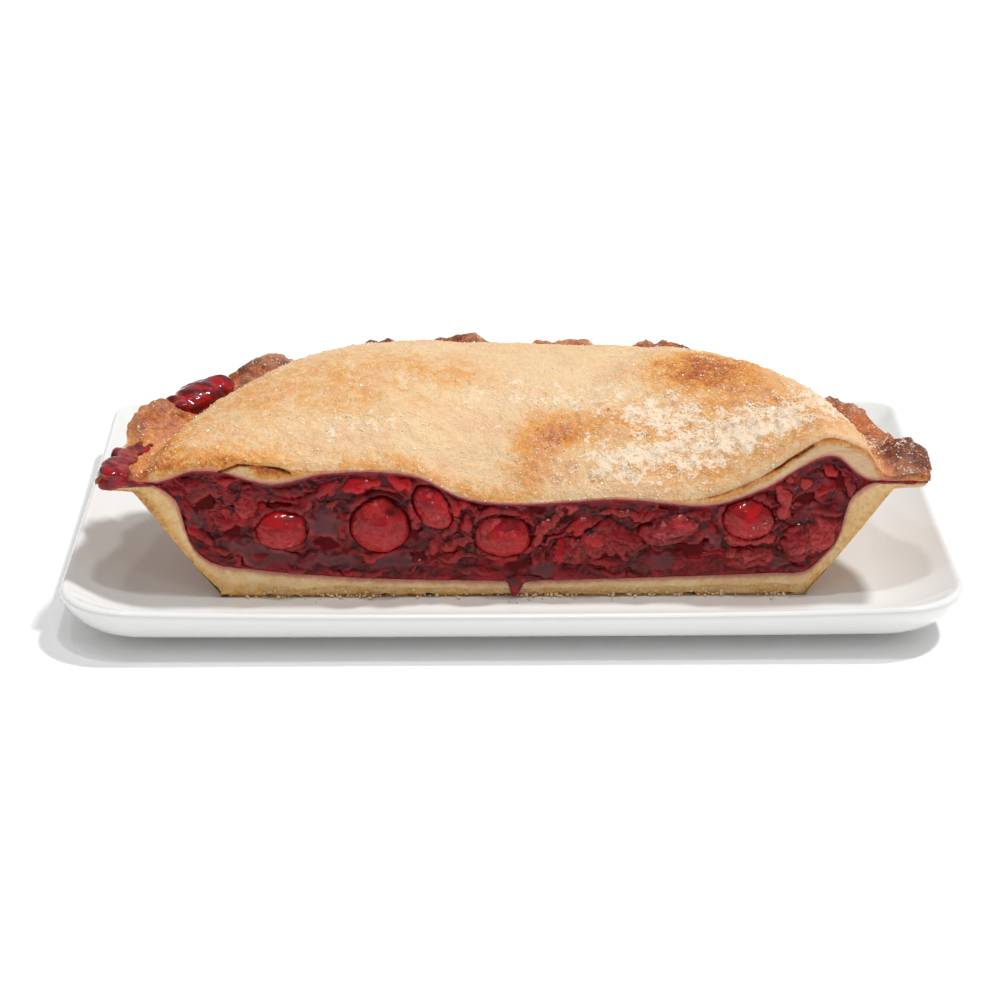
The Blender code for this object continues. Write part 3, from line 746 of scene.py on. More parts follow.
def build_top_crust():
    """Domed lid with its crimped rim, its relief and its torn cut edge."""
    inner_rings, step = 160, LID_INNER_RADIUS / 160
    rim_steps = [7, 6, 4, 4, 4, 4, 6]
    rings = inner_rings + sum(rim_steps)
    ring, angle = fan(rings, 0.6)
    rows, columns = ring.shape
    ring, angle = ring.ravel(), angle.ravel()

    radius = np.minimum(ring, inner_rings) * step
    height = crust_top(radius, angle)
    seat = flange_top(angle) + GAP
    crest = crust_top(np.full_like(angle, CRIMP_CREST_RADIUS), angle)
    outer = rim_radius(angle)
    profile = curve_through(section_lines([
        (LID_INNER_RADIUS, crust_top(np.full_like(angle, LID_INNER_RADIUS), angle)),
        (CRIMP_CREST_RADIUS, crest), (outer - 0.0016, seat + (crest - seat) * 0.88),
        (outer, seat + (crest - seat) * 0.55), (outer, seat + (crest - seat) * 0.2),
        (outer - 0.0016, seat), (LID_INNER_RADIUS, seat), (FLANGE_INNER_RADIUS, seat),
    ], angle), rim_steps)
    picked = profile[np.clip(ring - inner_rings, 0, len(profile) - 1), np.arange(len(ring))]
    radius = np.where(ring > inner_rings, picked[:, 0], radius)
    height = np.where(ring > inner_rings, picked[:, 1], height)
    points = spun(radius, angle, height)
    x = points[:, 0]
    normals = grid_normals(points, rows, columns)

    # Relief: slow swells, blisters, grains of caked sugar and the pinches of the rim.
    x_mm, y_mm, r_mm = x / MM, points[:, 1] / MM, radius / MM
    topside = 1.0 - rise(inner_rings + 16, inner_rings + 24, ring)
    rim_zone = rise(92, 97, r_mm) * topside
    sugar = sugar_of(x_mm, y_mm, r_mm) * topside
    browning = browning_of(x_mm, y_mm, r_mm, angle)
    relief = sum(share * noise(points, size, seed) for share, size, seed in (
        (0.3, 0.012, 1), (0.2, 0.005, 2), (0.12, 0.0024, 3), (0.07, 0.0012, 4)))
    flat = noise(points * np.array([1, 1, 0.2]), 0.0075, 6)
    relief -= 0.3 * np.exp(-(flat / 0.1) ** 2) * (0.4 + 0.6 * rise(0.2, 0.6, browning))
    distance, label = cells(points, 0.0017, 7)
    relief += 0.5 * np.minimum(sugar, 1.0) * (label * rise(0.75, 0.35, distance))
    clumps = noise(points, 0.0034, 10) + 0.5 * noise(points, 0.0016, 11)
    relief += 0.4 * np.clip(0.25 + browning + sugar, 0, 1.2) * rise(-0.1, 0.5, clumps)
    relief += rim_zone * (0.35 * noise(points, 0.004, 8) + 0.22 * noise(points, 0.0018, 9))
    for centre, half_width, _ in CRIMPS:
        pinch = bell(angle, centre + 0.3 * half_width, 0.9)
        pinch += 0.6 * bell(angle, centre - 0.75 * half_width, 0.8)
        relief -= 0.8 * pinch * rim_zone
    fade = 0.25 + 0.75 * rise(0, 3.0, y_mm)
    points = points + normals * ((relief + RELIEF_BIAS) * fade * topside * MM)[:, None]
    ceiling = CAD_BOX[1][2] - AXIS.z - 0.0007
    points[:, 2] = np.where(points[:, 2] > ceiling, ceiling + (points[:, 2] - ceiling) * 0.2, points[:, 2])

    # The cut edge rolls over.
    roll = np.clip(1 - y_mm / 1.7, 0, 1) * topside * (1 - rise(88, 96, r_mm))
    points[:, 2] -= (1 - np.sqrt(1 - roll ** 2)) * np.minimum(along(CUT_THICKNESS, x), 0.0026) * 0.45
    faces = [grid_faces(rows, columns)]
    masks = {"browning": browning, "sugar": sugar, "soaked": np.zeros(len(points))}

    # Cut face: rows that go down from the border to the crust's lower side.
    depth_rows = 22
    tip = inner_rings + sum(rim_steps[:3]) + 2
    border = np.arange(rings - tip, rings + tip + 1)
    top_line = points[border]
    line_x, line_z = top_line[None, :, 0], top_line[None, :, 2]
    lower_x = np.linspace(-FLANGE_INNER_RADIUS, FLANGE_INNER_RADIUS, 400)
    lower_z = crust_under(np.abs(lower_x), np.where(lower_x < 0, 180.0, 0.0))
    lower_x = np.concatenate([[-0.2], lower_x, [0.2]])
    lower_z = np.concatenate([[flange_top(180.0) + GAP], lower_z, [flange_top(0.0) + GAP]])
    bottom_z = np.minimum(np.interp(line_x, lower_x, lower_z), line_z - 0.0001)
    shares = np.arange(1, depth_rows + 1)[:, None] / depth_rows
    cap_x = np.repeat(line_x, depth_rows, 0)
    cap_z = line_z * (1 - shares) + bottom_z * shares
    layers = cut_noise(cap_x, cap_z, 0.0011, 21, 0.25)
    rough = cut_noise(cap_x, cap_z, 0.0022, 22)
    crumb = cut_noise(cap_x, cap_z, 0.0009, 23)
    span = np.repeat(line_z - bottom_z, depth_rows, 0)
    push = np.sin(np.pi * np.clip(shares, 0, 1)) * np.minimum(span, 0.003) * 0.16
    push += (0.1 * layers + 0.12 * rough + 0.08 * crumb) * MM
    push += 0.22 * layers * rise(0.0026, 0.0048, span) * MM
    crack_shade = np.zeros_like(cap_x)
    for path, depth in ((CRACK_LEFT, 1.7), (CRACK_RIGHT, 1.3)):
        distance, above = path_distance(cap_x, cap_z + 0.25 * MM * rough, path)
        groove = np.exp(-(distance / (0.3 * MM)) ** 2)
        lip = np.exp(-np.maximum(above, 0) / (1.2 * MM)) * (above > 0)
        ledge = np.exp(-np.maximum(-above, 0) / (1.6 * MM)) * (above <= 0)
        push = push - depth * MM * groove + (0.45 * lip - 0.35 * ledge) * MM * (1 - groove)
        crack_shade = np.maximum(crack_shade, groove)
    cap = on_cut(cap_x, cap_z, -push)
    cap_faces = grid_faces(depth_rows, len(border), len(points))
    first_row = np.stack([border[:-1], border[1:], len(points) + np.arange(1, len(border)),
                          len(points) + np.arange(len(border) - 1)], 1)
    below_top = (line_z - cap_z) / MM
    tips = rise(0.09, 0.098, np.abs(cap_x))
    # The crack grooves (crack_shade) are painted dark brown through the browning mask: painted shade in the
    # grooves.
    shade = 0.12 + 0.3 * np.exp(-below_top / 0.7) + 0.1 * layers + 0.9 * crack_shade + 0.45 * tips
    shade += 0.55 * spot(cap_x / MM, cap_z / MM, -61.5, 34.2, 4.5, 1.5, -12)
    shade += 0.42 * np.exp(-below_top / 1.3) * rise(0.04, 0.06, cap_x)
    shade += 0.3 * np.exp(-below_top / 1.0) * rise(-0.045, -0.06, cap_x)
    shade -= 0.2 * rise(1.6, 2.6, below_top) * rise(0.035, 0.05, cap_x)
    soaked = np.exp(-((cap_z - bottom_z) / (1.0 * MM)) ** 1.5) * (1 - 0.85 * tips)
    extend(masks, browning=shade, sugar=np.zeros(len(cap)), soaked=soaked)
    points = np.concatenate([points, cap])
    faces += [first_row[:, ::-1], cap_faces[:, ::-1]]

    # Lower side, which lies on the filling.
    under_rings = 48
    under_ring, under_angle = fan(under_rings)
    under_radius = under_ring * (FLANGE_INNER_RADIUS / under_rings)
    under = spun(under_radius, under_angle, crust_under(under_radius, under_angle))
    faces.append(grid_faces(under_rings + 1, 2 * under_rings + 1, len(points))[:, ::-1])
    points = np.concatenate([points, under])
    extend(masks, browning=np.full(len(under), 0.1), sugar=np.zeros(len(under)),
           soaked=np.full(len(under), 0.7))

    material = crust_material("lid_pastry", srgb(236, 203, 158), srgb(225, 154, 66),
                              srgb(192, 102, 38), srgb(104, 44, 26), 1.0)
    crust = make_piece("lid", points, np.concatenate(faces), material, masks)
    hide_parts("top_crust")
    return crust, (rows, columns)


# ---------------------------------------------------------------- bottom crust

def line_lengths(line):
    """Length along a line (n, 2) at each of its points."""
    return np.concatenate([[0], np.cumsum(np.hypot(*np.diff(line, axis=0).T))])


def points_along(line, places):
    """Points of a line at lengths along it."""
    lengths = line_lengths(line)
    return np.stack([np.interp(places, lengths, line[:, part]) for part in (0, 1)], -1)


def length_near(line, radius, height):
    """Length along a line at its point that is nearest to a radius and a height."""
    return line_lengths(line)[np.argmin(np.hypot(line[:, 0] - radius, line[:, 1] - height))]


def build_bottom_crust():
    """Base, sloping wall and flange, with the cut face's layers."""
    angle = np.linspace(0, 180, 381)
    flange_radius = RIM_RADIUS - 0.0012 + CRIMP_BULGE * (crimp_share(angle) - 0.5)
    flange = flange_top(angle)
    outer = curve_through(section_lines([
        (0.0, 0.0), (0.04, 0.0), (BASE_RADIUS - 0.003, 0.0), (BASE_RADIUS - 0.0006, 0.0003),
        (BASE_RADIUS + 0.0008, 0.0018), (BASE_RADIUS + 0.0068, 0.0095), (BASE_RADIUS + 0.0138, 0.019),
        (WALL_TOP_RADIUS - 0.0007, WALL_TOP_HEIGHT - 0.001),
        (WALL_TOP_RADIUS + 0.0012, WALL_TOP_HEIGHT + 0.0002),
        (flange_radius - 0.0006, flange - FLANGE_THICKNESS * 0.75),
        (flange_radius, flange - FLANGE_THICKNESS * 0.35), (flange_radius - 0.0003, flange),
        (FLANGE_INNER_RADIUS, flange),
    ], angle), [2, 6, 3, 3, 12, 14, 14, 3, 12, 2, 2, 4])
    inner_points = [(FLANGE_INNER_RADIUS, flange)] + list(reversed(INNER_WALL))
    inner_points += [(radius, base_top(radius, angle)) for radius in reversed(BASE_RADII)]
    inner = curve_through(section_lines(inner_points, angle), [2, 2, 3, 3, 3, 3, 2, 2, 2, 2])[1:]
    section = np.concatenate([outer, inner])
    rows, columns = section.shape[:2]
    points = spun(section[..., 0], angle[None, :], section[..., 1])
    normals = grid_normals(points, rows, columns)
    is_outer = np.repeat((np.arange(rows) < len(outer) - 5) & (np.arange(rows) > 3), columns)
    relief = sum(share * noise(points, size, seed) for share, size, seed in (
        (0.22, 0.009, 31), (0.16, 0.0035, 32), (0.1, 0.0014, 33)))
    relief -= 0.25 * rise(0.45, 0.8, noise(points, 0.002, 34))
    heights = points[:, 2] / MM
    relief -= 0.5 * bell(heights, 0.2, 1.2) * rise(0.0, 0.7, noise(points, 0.0045, 35))
    outward = np.sign((normals[:, :2] * points[:, :2]).sum(1))
    outward = np.where(outward == 0, 1, outward)
    seam = rise(0, 1.2, points[:, 1] / MM)
    points = points + normals * (outward * relief * is_outer * (0.3 + 0.7 * seam) * MM)[:, None]
    points[:, 2] = np.maximum(points[:, 2], 0.00003)
    toned = 0.42 + 0.12 * rise(40, -60, points[:, 0] / MM) + 0.2 * rise(6, 26, heights)
    toned += 0.15 * rise(27, 31, heights) + 0.1 * bell(heights, 1.0, 2.0)
    masks = {"browning": toned, "sugar": np.zeros(len(points)), "soaked": np.zeros(len(points))}
    faces = [grid_faces(rows, columns)]

    # Cut face, from the left flange round the base to the right flange.
    strip_rows, half_columns = 17, 330
    share = np.linspace(0, 1, half_columns)
    sides = []
    for sign, index in ((-1, columns - 1), (1, 0)):
        outline = outer[:, index]
        tip = int(np.argmax(outline[:, 0]))
        outside = outline[:tip + 1][::-1]
        inside = np.concatenate([outline[tip:], inner[:, index]])
        # Corners of the two lines belong together: tip, top of the wall, foot of the wall, axis.
        knots = (0.0, 0.1, 0.56, 0.66, 1.0)
        foot_height = base_top(BASE_RADII[-1], 180.0 if sign < 0 else 0.0)
        corners = (
            (inside, (FLANGE_INNER_RADIUS, outline[-1, 1]), INNER_WALL[0], (0.07, foot_height)),
            (outside, (WALL_TOP_RADIUS, WALL_TOP_HEIGHT), (BASE_RADIUS + 0.003, 0.0045),
             (BASE_RADIUS - 0.004, 0.0)),
        )
        pair = np.stack([points_along(line, np.interp(share, knots, (
            0.0, *(length_near(line, *corner) for corner in places), line_lengths(line)[-1])))
            for line, *places in corners], 0)
        pair[..., 0] *= sign
        sides.append(pair)
    lines = np.concatenate([sides[0], sides[1][:, ::-1][:, 1:]], axis=1)
    across = np.linspace(0, 1, strip_rows)[:, None]
    strip_x = lines[0, :, 0][None] * (1 - across) + lines[1, :, 0][None] * across
    strip_z = lines[0, :, 1][None] * (1 - across) + lines[1, :, 1][None] * across
    width = np.hypot(lines[0, :, 0] - lines[1, :, 0], lines[0, :, 1] - lines[1, :, 1])[None]
    flaky = cut_noise(strip_x, strip_z, 0.001, 41, 0.22)
    rough = cut_noise(strip_x, strip_z, 0.0026, 42)
    crumb = cut_noise(strip_x, strip_z, 0.001, 43)
    on_base = rise(0.0085, 0.0045, strip_z)
    right_wall = rise(0.03, 0.07, strip_x) * (1 - on_base)
    left_wall = rise(-0.03, -0.07, strip_x) * (1 - on_base)
    edge = np.minimum(across, 1 - across)
    shelf = rise(0.45, 0.62, across + 0.16 * cut_noise(strip_x, 0 * strip_z, 0.006, 46, 0.5))
    push = (0.1 * rough + 0.1 * crumb + 0.32 * flaky * on_base * rise(0.25, 0.6, across)) * MM
    push = push - 0.55 * MM * on_base * shelf - 0.22 * MM * right_wall * rise(0.15, 0.55, crumb)
    push += 0.3 * MM * (1 - np.exp(-edge * width / (0.4 * MM)))
    foot_x = strip_x[-1]
    ragged = cut_noise(foot_x, 0 * foot_x, 0.006, 44) + 0.6 * cut_noise(foot_x, 0 * foot_x, 0.0021, 45)
    push += 0.5 * MM * on_base * across ** 3 * ragged[None]
    strip_z = strip_z + 0.9 * MM * on_base * across ** 4 * np.clip(ragged, 0, 1)[None]
    strip = on_cut(strip_x, strip_z, -push)
    shade = 0.1 + 0.1 * flaky * on_base + 0.1 * crumb
    shade += left_wall * (0.1 + 0.34 * rise(0.45, 0.85, across))
    shade += right_wall * (0.1 + 0.16 * rise(0.7, 0.95, across))
    shade += on_base * (0.03 + 0.12 * shelf + 0.14 * rough * shelf)
    shade += 0.12 * bell(np.abs(strip_x), 0.0725, 0.008) * on_base * across
    pink = np.exp(-(across * width / (1.15 * MM + 0.35 * MM * rough)) ** 1.5)
    drip = bell(strip_x / MM, 0.8, 2.6) * on_base
    faces.append(grid_faces(strip_rows, strip_x.shape[1], len(points)))
    points = np.concatenate([points, strip])
    extend(masks, browning=shade, sugar=np.zeros(len(strip)), soaked=np.maximum(0.62 * pink, 0.34 * drip))

    material = crust_material("base_pastry", srgb(248, 220, 170), srgb(236, 184, 108),
                              srgb(184, 116, 56), srgb(124, 68, 36), 0.6)
    crust = make_piece("base_crust", points, np.concatenate(faces), material, masks)
    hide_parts("bottom_crust")


# ---------------------------------------------------------------- filling

# Fruit pieces pressed into the cut face: (x, z, half x, half z, tilt, height, flesh, red), in
# millimetres and degrees.  Flesh is torn fruit, red is unbroken skin.
FRUIT = (
    (-79.6, 30.3, 3.6, 2.5, -20, 0.9, 0.45, 0.1), (-84.5, 28.6, 2.4, 1.8, -40, 0.6, 0.2, 0.3),
    (-72.5, 31.6, 3.4, 1.5, 12, 0.8, 0.35, 0.5), (-82, 24.2, 1.8, 3.4, 22, 0.8, 0.35, 0.2),
    (-67.5, 25.4, 3.9, 4.5, 8, 1.2, 0.7, 0.2), (-73.6, 20.6, 2.6, 2.2, -30, 0.7, 0.4, 0.1),
    (-79.2, 17.6, 1.9, 4.2, 28, 0.7, 0.35, 0.3), (-74, 13.2, 3, 1.3, -28, 0.5, 0.35, 0.2),
    (-57, 28.6, 5, 1.9, -8, 0.8, 0.35, 0.3), (-51.2, 26, 4.6, 1.7, 38, 1.1, 0.45, 0.4),
    (-47.4, 29.2, 4.4, 2.3, 28, 1.2, 0.4, 0.5), (-45.2, 25.2, 3, 1.5, 46, 0.9, 0.45, 0.4),
    (-38.2, 30.4, 5.4, 1.9, 16, 1.2, 0.15, 0.8), (-28.4, 31, 3.6, 1.8, -24, 1.3, 0.2, 0.9),
    (-42.8, 17.8, 1.7, 2.6, 8, 0.5, 0.25, 0.2), (-35.5, 11.6, 4.2, 1.2, 4, 0.8, 0.6, 0.2),
    (-63, 12, 6, 1.5, -14, 0.25, 0.35, 0), (-50.5, 10.2, 6.5, 1.4, 4, 0.2, 0.3, 0),
    (-56, 8, 7, 0.9, -3, 0.2, 0.35, 0.2), (-36, 6.9, 8, 0.9, 1, 0.3, 0.3, 0.3),
    (-24.2, 22, 1.6, 2.6, -20, 0.4, 0.25, 0.5), (-14.6, 24.6, 2.2, 2.6, -35, 1.1, 0.4, 0.5),
    (-12, 20.2, 2.6, 2.1, 32, 1.2, 0.45, 0.4), (-16.6, 18.6, 1.7, 2.4, -22, 0.8, 0.4, 0.2),
    (-20, 13.4, 1.6, 2.8, -12, 0.8, 0.4, 0.4), (-13.2, 14.6, 5.2, 1.5, 24, 0.9, 0.6, 0.2),
    (-13.6, 11, 5.6, 1.5, 12, 0.9, 0.55, 0.2), (-10.4, 7.4, 6.4, 1.5, -8, 0.7, 0.5, 0.3),
    (-5.6, 10.6, 2.6, 1.5, -35, 0.6, 0.55, 0.2), (8.4, 19.6, 1.9, 5.6, -34, 1.5, 0.7, 0.2),
    (13.8, 23.8, 3.6, 1.6, 14, 1.1, 0.75, 0.1), (16.8, 19.1, 4.7, 1.8, 31, 1.6, 0.55, 0.5),
    (11.8, 12.2, 2.3, 3.8, 14, 1.3, 0.35, 0.7), (6.6, 11.4, 1.6, 2.6, -8, 0.6, 0.25, 0.2),
    (26.2, 15.2, 7.2, 4.9, -14, 1.5, 0.5, 0), (23.4, 18.6, 3.6, 1.9, 4, 1.5, 0.45, 0),
    (27, 22.4, 7, 1.5, -3, 1, 0.6, 0.3), (34.8, 21.2, 3.2, 1.3, 22, 1.1, 0.5, 0.3),
    (22.4, 9.3, 6.6, 1.7, 3, 0.8, 0.5, 0.1), (24.5, 6.4, 5.4, 0.9, 2, 0.5, 0.4, 0.2),
    (33.6, 9.4, 4.6, 2.4, 6, 0.4, 0.1, 0), (41.2, 7.8, 3.1, 1.7, 4, 0.7, 0.6, 0.1),
    (46.4, 22, 3.6, 1.7, -8, 0.9, 0.5, 0.4), (50.4, 18, 1.9, 2.8, 6, 0.7, 0.2, 0.3),
    (51, 9, 2.4, 1.9, 20, 0.4, 0.2, 0.1), (59.6, 16.2, 7, 2, 3, 1, 0.85, 0.2),
    (67.6, 25.8, 1.9, 6.2, 5, 1.5, 0.95, 0.1), (62.4, 26.6, 1.7, 1.5, 20, 0.9, 0.4, 0.1),
    (73.1, 30.4, 2.1, 2, 0, 1.1, 0.9, 0), (70, 33, 2.4, 1.3, 32, 0.9, 0.6, 0.2),
    (79.2, 33.8, 2.6, 1.7, -24, 1, 0.35, 0.7), (84.2, 29.6, 1.6, 3.2, 10, 0.8, 0.45, 0.3),
    (78, 28.4, 2.2, 1.6, 40, 0.5, 0.2, 0.6), (77.8, 23, 5.2, 2, 8, 0.9, 0.4, 0),
    (76.4, 16.2, 7.2, 4.6, 52, 1.6, 1, 0.2), (68.2, 13.2, 1.8, 1.5, 30, 0.5, 0.2, 0),
    (60.2, 11, 6.6, 3, 4, 1.1, 0.9, 0.2), (66.6, 8.6, 2.6, 1.5, 10, 0.2, 0.15, 0),
)

# Deep pools of clear gel between the pieces: (x, z, half x, half z, tilt) in millimetres.
POOLS = (
    (-77.5, 25.4, 2.2, 2, 20), (-70.5, 17.6, 3, 2, -20), (-47.6, 14.6, 3, 1.8, 0), (-60, 24.4, 4.4, 1.1, 4),
    (-32.6, 27.2, 5.4, 1.7, -10), (-24.8, 17.6, 2, 3.8, -12), (-24.6, 10.8, 2.6, 2, 6),
    (-9, 24.6, 3.6, 1.2, -14), (1.6, 8.8, 4, 2.2, 18), (4.4, 23.6, 3, 1.3, -12), (33.2, 18, 5, 1.2, 16),
    (39, 23.8, 2.2, 1.5, 0), (44.6, 12.8, 5.2, 2.1, 2), (15.6, 15.2, 2, 1.4, 20), (81, 31, 4.4, 3, -30),
    (74, 26, 3.6, 1.5, -8), (68.4, 13, 2.4, 1.2, 10), (-55.4, 12.6, 2.2, 0.8, 0), (-68, 9.6, 2.6, 0.7, -20),
    (-42, 6.6, 3.2, 0.6, 0),
)

# Crumpled skins of fruit: (x, z, half x, half z, tilt) in millimetres.
CRUMPLED = (
    (-74, 26.5, 12, 7, -10), (-50, 28, 9, 4.5, 20), (-12, 18, 8, 8, 30), (38, 21, 10, 3.5, 0),
    (8, 17, 5, 6, -20), (80, 31, 7, 5, -20), (68, 24, 4, 8, 0), (76, 16, 7, 6, 40), (26, 14, 7, 5, 0),
)

# Smooth films of gel, tinted greyish mauve in the gel material as a painted reflection: (x, z, half x, half
# z, tilt) in millimetres.
FILMS_AND_REFLECTIONS = (
    (-64, 12, 10, 3, -12), (-47.4, 19.6, 5, 3.4, 0), (-48, 10, 9, 2.2, 0), (-30, 9.6, 7, 2, 0),
    (35, 9.2, 7, 2.6, 0), (50, 15.6, 3, 2.6, 0), (7.4, 8.4, 3, 3, 0), (66, 9, 4, 2.2, 0),
    (77, 23, 5, 1.8, 0), (20.6, 15.6, 2.6, 2.6, 0), (-80.6, 21.6, 2, 3, 20),
)


def filling_outline(x):
    """Lowest and highest point of the filling's cut face at places x, lapping over the crust."""
    lap = 0.00035
    wall_heights = [z for _, z in INNER_WALL] + [WALL_TOP_HEIGHT + 0.0012]
    radii = list(BASE_RADII) + [radius + lap for radius, _ in INNER_WALL] + [FLANGE_INNER_RADIUS + 0.0002]
    left, right = (np.interp(np.abs(x), radii, [
        float(base_top(radius, angle)) - lap for radius in BASE_RADII] + wall_heights)
        for angle in (180.0, 0.0))
    low = np.where(x < 0, left, right)
    high = crust_under(np.abs(x), np.where(x < 0, 180.0, 0.0)) + lap * 0.6
    return low, np.maximum(high, low + 0.0001)


OVERHANG = 0.0002  # how far lumps lean out for each unit of slope
CUT_HALF_WIDTH = 0.0899
BODY_SETBACK = 0.0022  # between the relief and the plain body behind it
BODY_RADIUS = 0.0868


def blur(grid, reach):
    """Blur a grid with a bell of the given reach in cells."""
    steps = np.arange(-int(3 * reach), int(3 * reach) + 1)
    kernel = np.exp(-(steps / reach) ** 2 / 2)
    kernel /= kernel.sum()
    half = len(steps) // 2
    for axis in (0, 1):
        padded = np.pad(grid, [(half, half) if axis == own else (0, 0) for own in (0, 1)], mode="edge")
        grid = np.apply_along_axis(np.convolve, axis, padded, kernel, mode="valid")
    return grid


def oval_reach(x, z, centre_x, centre_z, half_x, half_z, tilt):
    """How far out on a tilted oval points are: 0 in its middle, 1 on its outline."""
    angle = math.radians(tilt)
    dx, dz = x - centre_x, z - centre_z
    along_axis = dx * math.cos(angle) + dz * math.sin(angle)
    across_axis = -dx * math.sin(angle) + dz * math.cos(angle)
    return np.hypot(along_axis / half_x, across_axis / half_z), along_axis, across_axis


def oval_mask(x, z, ovals, inner, outer):
    """Soft mask of tilted ovals: 1 inside, fading from an inner to an outer reach."""
    mask = np.zeros(len(x))
    for oval in ovals:
        mask = np.maximum(mask, 1 - rise(inner, outer, oval_reach(x, z, *oval)[0]))
    return mask


def filling_relief(x, z):
    """How far the fruit and gel stand out of the cut, with masks; x, z and heights in millimetres."""
    place = on_cut(x, z) * MM
    warp_x, warp_z = (1.9 * noise(place, 0.0056, seeds[0]) + 0.9 * noise(place, 0.0023, seeds[1])
                      + 0.3 * noise(place, 0.001, seeds[2]) for seeds in ((51, 52, 61), (53, 54, 62)))
    warped_x, warped_z = x + 0.75 * warp_x, z + 0.75 * warp_z
    # Smooth gel films: flattened in the relief, and tinted greyish mauve in the gel material as a painted
    # reflection.
    film_and_reflection = oval_mask(warped_x, warped_z, FILMS_AND_REFLECTIONS, 0.55, 1.25)
    pool = oval_mask(warped_x, warped_z, POOLS, 0.7, 1.15)
    crumpled = oval_mask(warped_x, warped_z, CRUMPLED, 0.5, 1.2)
    pool_slope = sum(-0.36 * oval_mask(warped_x, warped_z, [oval], 0.7, 1.15) * (z - oval[1])
                     for oval in POOLS)
    flow_place = on_cut(x + 1.5 * warp_x, z + 1.5 * warp_z) * MM * np.array([0.42, 1.0, 1.0])
    folds = np.clip(1 - 1.5 * np.abs(noise(flow_place, 0.004, 57)), 0, 1)
    fine_folds = np.clip(1 - 1.8 * np.abs(noise(flow_place, 0.0016, 58)), 0, 1)
    level = -0.62 + 0.3 * noise(place, 0.007, 55) + 0.62 * folds + (0.12 + 0.35 * crumpled) * fine_folds
    level = level * (1 - film_and_reflection) + film_and_reflection * (0.05 + 0.2 * noise(place, 0.005, 63) + 0.12 * folds)
    level = level * (1 - pool) + pool * (-1.15 + 0.15 * folds) + pool_slope
    flesh = 0.06 + 0.25 * crumpled * fine_folds + 0.12 * folds
    red = 0.12 + 0.25 * pool + 0.3 * rise(0.1, 0.6, noise(flow_place, 0.006, 68))
    grain_x, grain_z = warped_x, warped_z
    on_lump = np.zeros(len(x))
    for number, (centre_x, centre_z, half_x, half_z, tilt, height, fleshy, reddish) in enumerate(FRUIT):
        reach, lump_x, lump_z = oval_reach(warped_x, warped_z, centre_x, centre_z, half_x, half_z, tilt)
        reach = reach * (1 + 0.16 * noise(place + number * 0.01, 0.003, 64))
        dome = np.clip(1.0 - reach ** 2.2, 0.0, 1.0) ** 0.62
        half_height = max(half_x * abs(math.sin(math.radians(tilt))),
                          half_z * abs(math.cos(math.radians(tilt))))
        sagged = 1.0 - 0.42 * np.clip((z - centre_z) / half_height, -1, 1)
        cap = np.where(reach < 1.0, -1.0 + (height + 0.85) * dome * sagged, -9.0)
        wins = cap > level
        blend = rise(0.0, 1.0, np.clip(0.5 + (cap - level) / 0.8, 0, 1))
        level = np.maximum(cap, level) + 0.2 * np.clip(1 - np.abs(cap - level) / 0.8, 0, 1) ** 2
        flesh, red = flesh * (1 - blend) + fleshy * blend, red * (1 - blend) + reddish * blend
        film_and_reflection, pool = film_and_reflection * (1 - blend), pool * (1 - blend)
        on_lump = np.maximum(on_lump, blend)
        grain_x, grain_z = np.where(wins, lump_x, grain_x), np.where(wins, lump_z, grain_z)
    # Torn fruit has ridges along its length and fine fibres.
    ridge_place = on_cut(grain_x * 0.3 + 0.5 * warp_x, grain_z + 0.5 * warp_z) * MM
    ridges = np.clip(1 - 2.2 * np.abs(noise(ridge_place, 0.0019, 56)), 0, 1) ** 1.5
    fibres = noise(ridge_place * np.array([1.2, 1, 2.2]), 0.0016, 65)
    rough = on_lump * (0.25 + 0.75 * flesh)
    level = level + rough * (0.24 * ridges + 0.06 * fibres) * (0.35 + 0.65 * crumpled)
    return level + 0.045 * (18.0 - z), flesh, red, film_and_reflection, pool


def cherry_front(x, z, name):
    """How far a cherry's front stands out of the cut, -9 beside it, and its reach; in millimetres."""
    half_x, half_y, half_z, tilt = (value / MM if index < 3 else value
                                    for index, value in enumerate(CHERRY_LOOKS[name][:4]))
    centre = (middle(name) - AXIS) / MM
    reach, _, _ = oval_reach(x, z, centre.x, centre.z, half_x, half_z, tilt)
    front = np.where(reach < 1.0, half_y * np.sqrt(np.clip(1 - reach ** 2, 0, 1)) - centre.y, -9.0)
    front = front - 0.9 * np.clip((z - centre.z) / half_z, -0.6, 1)
    return front, reach, (z - centre.z) / half_z


